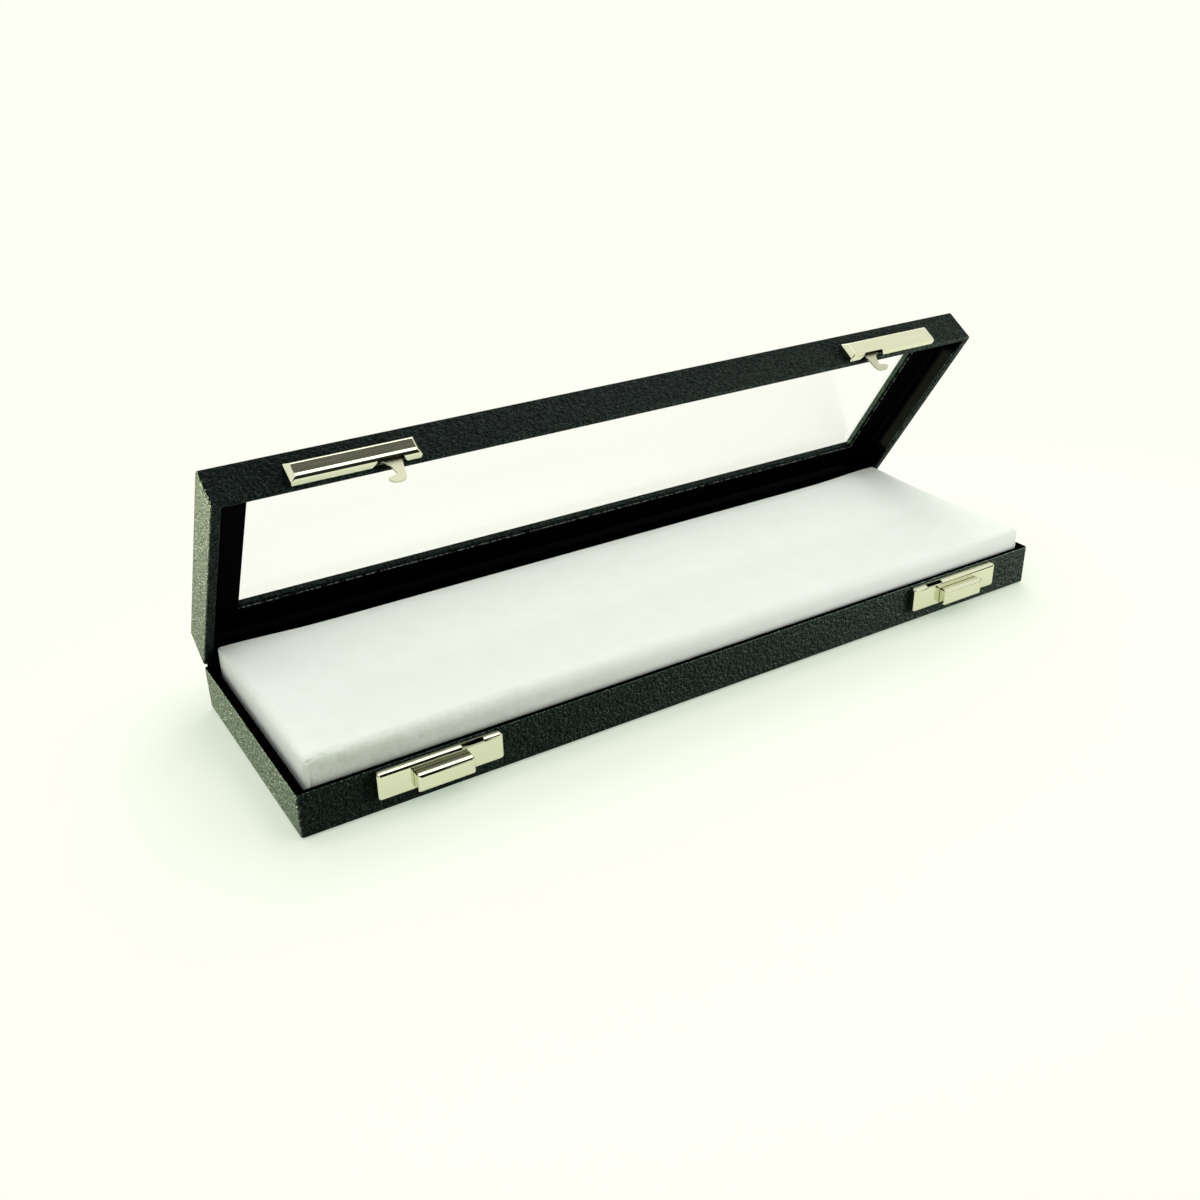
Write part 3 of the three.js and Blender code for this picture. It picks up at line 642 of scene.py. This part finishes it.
def simulated_swell():
    """Where a cloth simulation of the filled cover moves it, as a function of the place."""
    xs = (PAD_X[0] + CLOTH_INSET, PAD_X[1] - CLOTH_INSET)
    ys = (PAD_Y[0] + CLOTH_INSET, PAD_Y[1] - CLOTH_INSET)
    zs = (PAD_BASE, PAD_TOP - CLOTH_INSET)
    corners = [(x, y, z) for z in zs for y in ys for x in xs]
    faces = [(0, 2, 3, 1), (4, 5, 7, 6), (0, 1, 5, 4), (2, 6, 7, 3), (0, 4, 6, 2), (1, 3, 7, 5)]
    mesh = mesh_of("pad_slab", corners, faces, smooth=False)
    slab = bpy.data.objects.new("pad_slab", mesh)
    bpy.context.scene.collection.objects.link(slab)
    remesh = slab.modifiers.new("even", "REMESH")
    remesh.mode = "VOXEL"
    remesh.voxel_size = CLOTH_VOXEL * MM
    apply_modifiers(slab)
    start = [vertex.co.copy() for vertex in slab.data.vertices]
    held = slab.vertex_groups.new(name="held")
    held_under = (PAD_BASE + CLOTH_HELD) * MM
    held.add([at for at, point in enumerate(start) if point.z < held_under], 1.0, "REPLACE")
    cloth = slab.modifiers.new("filled", "CLOTH")
    cloth.settings.quality = CLOTH_QUALITY
    cloth.settings.vertex_group_mass = "held"
    cloth.settings.use_pressure = True
    cloth.settings.uniform_pressure_force = CLOTH_PRESSURE
    cloth.settings.effector_weights.gravity = 0.0
    for frame in range(1, CLOTH_FRAMES + 1):
        bpy.context.scene.frame_set(frame)
    pressed = slab.evaluated_get(bpy.context.evaluated_depsgraph_get())
    moves = [vertex.co - before for vertex, before in zip(pressed.data.vertices, start)]
    bpy.context.scene.frame_set(1)
    bpy.data.objects.remove(slab)
    most_up = max(abs(move.z) for move in moves)
    most_out = max(max(abs(move.x), abs(move.y)) for move in moves)
    scale_up = min(1.0, CLOTH_MOST_UP * MM / most_up) / MM
    scale_out = min(1.0, CLOTH_MOST_OUT * MM / most_out) / MM
    tree = KDTree(len(start))
    for at, point in enumerate(start):
        tree.insert(point, at)
    tree.balance()

    def swell(place):
        total = 0.0
        move = Vector()
        for _, at, away in tree.find_range(Vector(place) * MM, CLOTH_REACH * MM):
            weight = math.exp(-(away / (CLOTH_REACH * MM) * CLOTH_FALLOFF) ** 2)
            total += weight
            move += moves[at] * weight
        if total:
            move /= total
        return Vector((move.x * scale_out, move.y * scale_out, move.z * scale_up))

    return swell


def waves_at(along, across, waves):
    """How far the fabric's waves stand out at a place of one of its faces."""
    return sum(height * noise.noise(Vector((along * first, across * second, layer)))
               for height, first, second, layer in waves)


def pad_height(x, y):
    """The top of the pad: softly rounded along its edges and crisp at its corners."""
    from_end = min(x - PAD_X[0], PAD_X[1] - x)
    from_side = min(y - PAD_Y[0], PAD_Y[1] - y)
    side = rounding(from_side, ease((from_end - TIGHT_TO) / LOOSE_ALONG), SIDE_ROUNDING)
    end = rounding(from_end, ease((from_side - TIGHT_TO) / LOOSE_ACROSS), END_ROUNDING)
    rounded = (side ** CORNER_POWER + end ** CORNER_POWER) ** (1 / CORNER_POWER)
    crown = PAD_CROWN
    crown = crown * ease(from_side / CROWN_FROM_SIDE) * ease(from_end / CROWN_FROM_END)
    swell = waves_at(x, y, TOP_WAVES)
    swell = swell * ease(from_side / WAVES_FROM_EDGE) * ease(from_end / WAVES_FROM_EDGE)
    return PAD_TOP - rounded + crown + swell


# Creases of the fabric: from and to in the plane of the top, with width and depth
TOP_CREASES = [
    ((-120.6, -34.2), (-116.2, -33.0), 0.4, 0.5),
    ((-119.4, -33.0), (-112.5, -31.6), 0.35, 0.1),
    ((-104.0, -33.2), (-94.0, -32.6), 0.6, 0.07),
    ((-78.0, -32.7), (-66.0, -32.1), 0.6, 0.08),
    ((119.9, -33.4), (117.4, -31.0), 0.4, 0.12),
    ((-120.2, 32.4), (-118.0, 30.2), 0.4, 0.1),
]
# In widths of the crease: how far it is felt and how far off its lips stand. The share of
# its depth that it has lost at its far end and that its lips have, and how much narrower
# they are.
CREASE_REACH = 3
LIP_AWAY = 1.6
CREASE_LOST = 0.6
LIP_SHARE = 0.5
LIP_NARROWER = 2.5


def crease_depth(x, y):
    """How deep the creases lie at a place, less the lips that they raise beside them."""
    depth = 0.0
    place = Vector((x, y))
    for start, end, width, deep in TOP_CREASES:
        first = Vector(start)
        last = Vector(end)
        along = last - first
        share = min(max((place - first).dot(along) / along.length_squared, 0.0), 1.0)
        away = (place - first.lerp(last, share)).length / width
        if away < CREASE_REACH:
            depth += deep * math.exp(-away * away) * (1 - CREASE_LOST * share)
            depth -= LIP_SHARE * deep * math.exp(-(away - LIP_AWAY) ** 2 * LIP_NARROWER)
    return depth


# Puckers of the front face: where along the box, how high, how wide and how proud
PUCKERS = [
    (-84.4, 14.6, 1.0, 0.16), (-81.9, 15.2, 0.8, 0.14), (-107.0, 14.2, 0.7, 0.12),
    (-103.6, 14.4, 0.6, 0.12), (-46.0, 14.5, 0.9, 0.1), (12.0, 14.4, 1.0, 0.1),
    (73.0, 14.6, 0.8, 0.1),
]
# A pucker's height as a share of its width, how many widths away it is felt, and the dip
# round it: its depth as a share of how proud it is, how far off and how much narrower
PUCKER_HEIGHT_SHARE = 0.8
PUCKER_REACH = 3
DIP_SHARE = 0.6
DIP_AWAY = 1.7
DIP_NARROWER = 4
# The roll and the tuck at both ends of a long side: how high or deep, how far from the end
# and how wide
END_ROLL = (0.16, 0.25, 0.25)
END_TUCK = (0.3, 0.95, 0.3)
# The share of the height down from the top by which a side has its full bulge
BULGE_BY_SHARE = 0.25
# The most that a side may stand out, which keeps it clear of the rim
BULGE_MOST = 0.2


def hump(place, form):
    """The height at a place of a smooth hump with a height, a middle and a width."""
    height, middle, width = form
    return height * math.exp(-((place - middle) / width) ** 2)


def side_bulge(x, height, front):
    """How far the fabric of a long side stands out of its plane."""
    out = waves_at(x, height, FRONT_WAVES if front else BACK_WAVES)
    if front:
        for centre, level, wide, proud in PUCKERS:
            high = wide * PUCKER_HEIGHT_SHARE
            near = ((x - centre) / wide) ** 2 + ((height - level) / high) ** 2
            if near < PUCKER_REACH ** 2:
                raised = proud * math.exp(-near)
                dip = math.exp(-((near ** 0.5 - DIP_AWAY) ** 2) * DIP_NARROWER)
                out += raised - DIP_SHARE * proud * dip
    from_end = min(x - PAD_X[0], PAD_X[1] - x)
    out += hump(from_end, END_ROLL) - hump(from_end, END_TUCK)
    return min(out, BULGE_MOST)


def make_pad(material):
    """The fabric over the padding: a crowned top, four sides and a flat underside."""
    xs = spaced(*PAD_X, PAD_FINE, PAD_FINE_STEP, PAD_STEP_X)
    ys = spaced(*PAD_Y, PAD_FINE, PAD_FINE_STEP, PAD_STEP_Y)
    columns = len(xs)
    rows = len(ys)
    points = []
    for y in ys:
        for x in xs:
            points.append([x, y, pad_height(x, y) - crease_depth(x, y)])
    faces = []
    for row in range(rows - 1):
        for column in range(columns - 1):
            at = row * columns + column
            faces.append((at, at + 1, at + columns + 1, at + columns))
    border = list(range(columns))
    border += [row * columns + columns - 1 for row in range(1, rows)]
    border += [(rows - 1) * columns + column for column in range(columns - 2, -1, -1)]
    border += [row * columns for row in range(rows - 2, 0, -1)]
    upper = border
    for level in range(1, PAD_LEVELS + 1):
        share = level / PAD_LEVELS
        lower = []
        for at in border:
            x, y, top = points[at]
            height = top + (PAD_BASE - top) * share
            fade = min(share / BULGE_BY_SHARE, 1.0)
            if y == ys[0]:
                y -= side_bulge(x, height, True) * fade
            elif y == ys[-1]:
                y += side_bulge(x, height, False) * fade
            elif x in (xs[0], xs[-1]):
                bulge = waves_at(y, height, END_WAVES) * fade
                x += -bulge if x == xs[0] else bulge
            lower.append(len(points))
            points.append([x, y, height])
        for side in range(len(border)):
            following = (side + 1) % len(border)
            faces.append((upper[side], lower[side], lower[following], upper[following]))
        upper = lower
    faces.append(tuple(reversed(upper)))
    swell = simulated_swell()
    points = [Vector(point) + swell(point) for point in points]
    piece = new_piece("pad_fabric", mesh_of("pad_fabric", points, faces), material)
    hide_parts("pad_cover")
    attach(piece, "base")


# Hinge strips, drawn in the plane across the hinge at the photographed opening

def in_lid(inward, above):
    """The place across the hinge at a distance along the open lid and above its rim."""
    return Vector((
        HALF_WIDTH - inward * math.cos(LID_OPEN) + above * math.sin(LID_OPEN),
        HINGE_HEIGHT + inward * math.sin(LID_OPEN) + above * math.cos(LID_OPEN),
    ))


# The strips' meshes: steps in each bend, the most of a length that a bend takes, and
# steps along the hinge
BEND_STEPS = 8
BEND_SHARE = 0.45
STRIP_STEPS = 60


def rounded_line(points, radius, steps):
    """The line with each of its bends drawn as a curve."""
    line = [points[0]]
    for before, corner, after in zip(points, points[1:], points[2:]):
        back = before - corner
        on = after - corner
        start = corner + back.normalized() * min(radius, back.length * BEND_SHARE)
        end = corner + on.normalized() * min(radius, on.length * BEND_SHARE)
        for step in range(steps + 1):
            share = step / steps
            line.append(start.lerp(corner, share).lerp(corner.lerp(end, share), share))
    line.append(points[-1])
    return line


def make_strip(name, node, points, half_length, radius, material):
    """A bent strip along the hinge, in place of a CAD node."""
    line = rounded_line(points, radius, BEND_STEPS)
    halves = []
    for place, point in enumerate(line):
        ahead = line[min(place + 1, len(line) - 1)] - line[max(place - 1, 0)]
        across = Vector((-ahead.y, ahead.x)).normalized() * STRIP_THICKNESS / 2
        halves.append((point + across, point - across))
    loop = [first for first, _ in halves] + [second for _, second in reversed(halves)]
    count = len(loop)
    solid = []
    for station in range(STRIP_STEPS + 1):
        x = -half_length + 2 * half_length * station / STRIP_STEPS
        solid += [(x, place.x, place.y) for place in loop]
    faces = []
    for station in range(STRIP_STEPS):
        for side in range(count):
            following = (side + 1) % count
            at = station * count
            faces.append((at + side, at + following, at + count + following, at + count + side))
    faces.append(tuple(range(count - 1, -1, -1)))
    faces.append(tuple(range(STRIP_STEPS * count, (STRIP_STEPS + 1) * count)))
    piece = new_piece(name, mesh_of(name, solid, faces), material)
    bm = bmesh.new()
    bm.from_mesh(piece.data)
    bmesh.ops.recalc_face_normals(bm, faces=bm.faces)
    bm.to_mesh(piece.data)
    bm.free()
    keep_flats(piece)
    apply_modifiers(piece)
    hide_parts(node)
    bend_start, bend_end = points[1], points[-2]
    if bend_start == bend_end:
        bend_start = bend_start + (points[0] - bend_start).normalized() * radius
        bend_end = bend_end + (points[-1] - bend_end).normalized() * radius
    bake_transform(piece)


# The fold of the wrap and the strip inside: reach, inset from the back and half length
FOLD_REACH = 1.4
FOLD_INSET = 0.15
FOLD_HALF_LENGTH = 124.05
FOLD_RADIUS = 0.5
STRIP_INSET = 2.0
STRIP_HALF_LENGTH = 118.3
STRIP_RADIUS = 0.8
STRIP_DOWN = 6.0
STRIP_UP = 5.0
STRIP_CLEARANCE = 0.6
STRIP_THICKNESS = 0.3
# Half the gap between the two rims
LID_RIM = 0.15


def make_hinge(materials):
    """The wrap's fold along the hinge line and the lining strip over it."""
    fold = [
        Vector((HALF_WIDTH - FOLD_INSET, HINGE_HEIGHT - FOLD_REACH)),
        Vector((HALF_WIDTH - FOLD_INSET, HINGE_HEIGHT + FOLD_INSET * math.tan(LID_OPEN / 2))),
        in_lid(FOLD_INSET, FOLD_REACH),
    ]
    make_strip("hinge_fold_wrap", "hinge_fold", fold, FOLD_HALF_LENGTH, FOLD_RADIUS,
               materials["leatherette"])
    strip = [
        Vector((HALF_WIDTH - STRIP_INSET, HINGE_HEIGHT - LID_RIM - STRIP_DOWN)),
        Vector((HALF_WIDTH - STRIP_INSET, HINGE_HEIGHT - LID_RIM - STRIP_CLEARANCE)),
        in_lid(STRIP_INSET, LID_RIM + STRIP_CLEARANCE),
        in_lid(STRIP_INSET, LID_RIM + STRIP_UP),
    ]
    make_strip("hinge_lining_strip", "hinge_lining", strip, STRIP_HALF_LENGTH, STRIP_RADIUS,
               materials["lining"])


# Each coil spring's fixed end along X and its slider's longest travel from rest, in
# millimetres
SPRINGS = {"left": (-104.8, 2.5), "right": (107.5, 1.5)}


def make_springs(frame, material):
    """Copies of the latches' coil springs, on the base."""
    for side, (fixed_end, travel) in SPRINGS.items():
        name = f"latch_spring_{side}"
        spring = new_piece(name + "_coil", frame["nodes"][name].data.copy(), material)
        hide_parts(name)
        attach(spring, "base")
        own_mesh(spring)


# The solids that show and how wide their edges are eased, in millimetres
EASED = {
    "base_cover": 0.12, "lid_cover": 0.12, "base_underside_sheet": 0.12,
    "lid_inner_frame": 0.1, "lid_glass": 0.08,
    "latch_case": 0.12, "latch_slider": 0.1, "hook_cover": 0.1, "hook_plate": 0.1,
}


def dress_nodes(frame, materials):
    """Materials for every CAD piece, and eased copies of those that show."""
    body_of = {}
    for body, nodes in frame["record"]["behaviour"]["bodies"].items():
        for node in nodes:
            body_of[node] = body
    other_finishes = {
        # Painted shade: the lid's inner walls take the near-black lining
        "lid_cover": [(materials["lining"], in_lid_hollow)],
        # Painted highlight: the edge of the frame's opening takes a pale, blotched material
        "lid_inner_frame": [(materials["frame_edge_highlight"], in_frame_opening)],
        "base_cover": [
            # Painted shade: the rim's top takes a darker leatherette without reflection
            (materials["painted_shade_rim_leatherette"], on_base_rim),
            # Painted highlight: the rounded edge over the front takes a more reflective leatherette
            (materials["painted_highlight_edge"], on_rim_edge),
        ],
    }
    for entry in frame["record"]["subparts"]:
        name = entry["node"]
        slot = entry["material_slot"]
        material = materials[slot]
        if name.startswith("hook_plate"):
            material = materials["satin_metal"]
        node = frame["nodes"][name]
        node.data.materials.clear()
        node.data.materials.append(material)
        width = EASED.get(kind_of(name))
        if width:
            others = other_finishes.get(name, ())
            eased(node, name, body_of[name], material, width, others)


# The floor and the light

# Patches of the room round the box. Each has a range of directions along X, Y and Z, over
# whose edges it fades, and its strength, where the rest of the room has 1.
ROOM_PATCHES = [
    ((-0.45, 0.47), (-0.01, 0.12), (0.5, 2.0), 0.12),
    ((-0.85, 0.5), (-2.0, -0.25), (-0.1, 0.76), 0.02),
    ((0.18, 0.47), (-0.5, -0.03), (0.7, 2.0), 2.6),
    ((0.18, 0.47), (0.14, 0.62), (0.55, 2.0), 2.6),
]
PATCH_EDGE = 0.03
ROOM_COLOUR = (1.0, 1.0, 0.95)


def world_light():
    """A white room with dark and bright patches, plain white for the camera."""
    world = bpy.data.worlds.new("studio")
    bpy.context.scene.world = world
    world.use_nodes = True
    nodes = world.node_tree.nodes
    links = world.node_tree.links
    nodes.clear()
    output = nodes.new("ShaderNodeOutputWorld")
    direction = nodes.new("ShaderNodeTexCoord").outputs["Generated"]
    parts = nodes.new("ShaderNodeSeparateXYZ")
    links.new(direction, parts.inputs[0])

    def product(first, second):
        node = nodes.new("ShaderNodeMath")
        node.operation = "MULTIPLY"
        links.new(first, node.inputs[0])
        links.new(second, node.inputs[1])
        return node.outputs["Value"]

    def span(source, low, high, to_low, to_high):
        node = nodes.new("ShaderNodeMapRange")
        node.interpolation_type = "SMOOTHSTEP"
        ends = {"From Min": low, "From Max": high, "To Min": to_low, "To Max": to_high}
        for key, number in ends.items():
            node.inputs[key].default_value = number
        links.new(source, node.inputs["Value"])
        return node.outputs["Result"]

    strength = None
    for *ranges, value in ROOM_PATCHES:
        inside = None
        for axis, (low, high) in zip(parts.outputs, ranges):
            for edge, to_low, to_high in ((low, 0.0, 1.0), (high, 1.0, 0.0)):
                factor = span(axis, edge - PATCH_EDGE, edge + PATCH_EDGE, to_low, to_high)
                inside = product(inside, factor) if inside else factor
        factor = span(inside, 0.0, 1.0, 1.0, value)
        strength = product(strength, factor) if strength else factor
    room = nodes.new("ShaderNodeBackground")
    room.inputs["Color"].default_value = (*ROOM_COLOUR, 1.0)
    links.new(strength, room.inputs["Strength"])
    white = nodes.new("ShaderNodeBackground")
    white.inputs["Color"].default_value = (*BACKDROP_WHITE, 1.0)
    light_path = nodes.new("ShaderNodeLightPath")
    seen = nodes.new("ShaderNodeMath")
    seen.operation = "MAXIMUM"
    links.new(light_path.outputs["Is Camera Ray"], seen.inputs[0])
    links.new(light_path.outputs["Is Transmission Ray"], seen.inputs[1])
    mix = nodes.new("ShaderNodeMixShader")
    links.new(seen.outputs["Value"], mix.inputs["Fac"])
    links.new(room.outputs["Background"], mix.inputs[1])
    links.new(white.outputs["Background"], mix.inputs[2])
    links.new(mix.outputs["Shader"], output.inputs["Surface"])


# The floor: its reach and drop, where it is lit and where it has turned white, measured
# from a middle in front of the origin, with distances along Y counted for more
FLOOR_REACH = 4.0
FLOOR_DROP = 0.0001
FLOOR_LIT_TO = 0.18
FLOOR_WHITE_FROM = 0.3
FLOOR_DEEPER = 1.5
FLOOR_MIDDLE_Y = -0.05
# Its colours: the part that takes light and the part that glows where the camera looks,
# and the plain floor that lights the box
FLOOR_LIT = (0.62, 0.58, 0.56)
FLOOR_GLOW = (0.4, 0.48, 0.39)
FLOOR_PLAIN = (0.8, 0.8, 0.76)


def make_floor():
    """A pale floor that takes the box's shadow and turns to plain white further out."""
    reach = FLOOR_REACH / MM
    corners = [(-reach, -reach, 0), (reach, -reach, 0), (reach, reach, 0), (-reach, reach, 0)]
    shader = Shader("pale_floor")
    floor = new_piece("floor", mesh_of("floor", corners, [(0, 1, 2, 3)]), shader.material)
    floor.location.z = -FLOOR_DROP
    shader.nodes.remove(shader.principled)
    place = shader.node("ShaderNodeMapping")
    place.inputs["Location"].default_value = (0.0, -FLOOR_MIDDLE_Y * FLOOR_DEEPER, 0.0)
    place.inputs["Scale"].default_value = (1.0, FLOOR_DEEPER, 1.0)
    shader.link(shader.node("ShaderNodeNewGeometry").outputs["Position"], place.inputs["Vector"])
    away = shader.node("ShaderNodeVectorMath", operation="LENGTH")
    shader.link(place.outputs["Vector"], away.inputs[0])
    far = shader.span(away.outputs["Value"], FLOOR_LIT_TO, FLOOR_WHITE_FROM, 0.0, 1.0)
    lit = shader.node("ShaderNodeBsdfDiffuse")
    lit.inputs["Color"].default_value = (*FLOOR_LIT, 1.0)
    glow = shader.node("ShaderNodeEmission")
    glow.inputs["Color"].default_value = (*FLOOR_GLOW, 1.0)
    near = shader.node("ShaderNodeAddShader")
    shader.link(lit.outputs["BSDF"], near.inputs[0])
    shader.link(glow.outputs["Emission"], near.inputs[1])
    white = shader.node("ShaderNodeEmission")
    white.inputs["Color"].default_value = (*BACKDROP_WHITE, 1.0)
    mix = shader.node("ShaderNodeMixShader")
    shader.link(far, mix.inputs["Fac"])
    shader.link(near.outputs["Shader"], mix.inputs[1])
    shader.link(white.outputs["Emission"], mix.inputs[2])
    plain = shader.node("ShaderNodeBsdfDiffuse")
    plain.inputs["Color"].default_value = (*FLOOR_PLAIN, 1.0)
    rays = shader.node("ShaderNodeLightPath").outputs
    seen = shader.math("MAXIMUM", rays["Is Camera Ray"], rays["Is Glossy Ray"])
    seen = shader.math("MAXIMUM", seen, rays["Is Transmission Ray"])
    both = shader.node("ShaderNodeMixShader")
    shader.link(seen, both.inputs["Fac"])
    shader.link(plain.outputs["BSDF"], both.inputs[1])
    shader.link(mix.outputs["Shader"], both.inputs[2])
    shader.link(both.outputs["Shader"], shader.output.inputs["Surface"])


# Soft lamps: place, what they face, size, power and colour. The wall lamps light only the
# leatherette walls and the pad lamps only the insert.
KEY_LAMPS = {
    "key_softbox": ((0.5, 0.75, 0.9), (0.0, 0.0, 0.0), (0.7, 0.7), 2.8, (1.0, 1.0, 1.0)),
}
WALL_LAMPS = {
    "side_lamp": ((-0.6, 0.35, 0.06), (-0.12, 0.0, 0.03), (0.14, 0.07), 42.0, (1.0, 1.0, 0.62)),
    "far_side_lamp": (
        (-1.6, 0.042, 0.06), (-0.12, 0.017, 0.045), (0.03, 0.03), 150.0, (1.0, 1.0, 0.7)),
    "front_lamp": ((0.42, -0.3, 0.1), (0.08, -0.04, 0.03), (0.15, 0.15), 8.0, (0.97, 1.0, 0.8)),
}
PAD_LAMPS = {
    "pad_fill": ((-0.4, -0.28, 0.55), (-0.04, 0.0, 0.02), (0.3, 0.3), 0.6, (1.0, 1.0, 1.0)),
    "pad_fill_right": ((0.2, 0.3, 0.35), (0.07, 0.02, 0.02), (0.2, 0.2), 0.34, (1.0, 1.0, 1.0)),
    "pad_fill_front": (
        (0.15, -0.26, 0.04), (0.05, -0.035, 0.016), (0.1, 0.05), 0.18, (1.0, 1.0, 1.0)),
}


def area_light(name, place, target, size, power, colour):
    data = bpy.data.lights.new(name, "AREA")
    data.shape = "RECTANGLE"
    data.size, data.size_y = size
    data.energy = power
    data.color = colour
    light = bpy.data.objects.new(name, data)
    bpy.context.scene.collection.objects.link(light)
    light.location = place
    light.rotation_euler = (Vector(target) - Vector(place)).to_track_quat("-Z", "Y").to_euler()
    return light


def collect(name, wanted):
    """A collection of the scene's meshes whose names are wanted."""
    collection = bpy.data.collections.new(name)
    for piece in bpy.context.scene.objects:
        if piece.type == "MESH" and wanted(piece.name):
            collection.objects.link(piece)
    return collection


def link_lamps(walls, fills):
    """Which pieces the wall lamps and the pad lamps light, and what shades the pad lamps."""
    side_lit = collect("side_lit", lambda name: name.startswith(("base_cover", "lid_cover")))
    below_lid = collect(
        "fill_shadow_casters", lambda name: not name.startswith(("lid_", "hook_", "hinge_")))
    insert = collect("fill_lit", lambda name: name.startswith("pad_"))
    for lamp in walls:
        lamp.light_linking.receiver_collection = side_lit
    for lamp in fills:
        lamp.light_linking.blocker_collection = below_lid
        lamp.light_linking.receiver_collection = insert


def main():
    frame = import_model()
    bpy.context.scene.view_settings.view_transform = "Standard"
    make_camera()
    world_light()
    make_floor()
    for name, lamp in KEY_LAMPS.items():
        area_light(name, *lamp)
    walls = [area_light(name, *lamp) for name, lamp in WALL_LAMPS.items()]
    fills = [area_light(name, *lamp) for name, lamp in PAD_LAMPS.items()]
    materials = {
        "leatherette": leatherette("black_leatherette", 0.055),
        # Painted shade: a darker copy of the leatherette, without reflection, for the rim's top
        "painted_shade_rim_leatherette": leatherette("painted_shade_rim_leatherette", 0.0, 0.08),
        # Painted highlight: a more reflective copy of the leatherette for the rim's front edge
        "painted_highlight_edge": leatherette("painted_highlight_edge_leatherette", 0.25),
        "board": board(),
        "lining": lining(),
        "white_fabric": white_fabric(),
        "foam": foam(),
        "clear_glass": clear_glass(),
        "plated_metal": plated_metal("bright_nickel", 0.06, 1.0),
        "satin_metal": plated_metal("satin_nickel", 0.34, 0.72),
        "frame_edge_highlight": frame_edge_highlight(),
    }
    dress_nodes(frame, materials)
    make_pad(materials["white_fabric"])
    make_hinge(materials)
    make_springs(frame, materials["plated_metal"])
    link_lamps(walls, fills)


main()
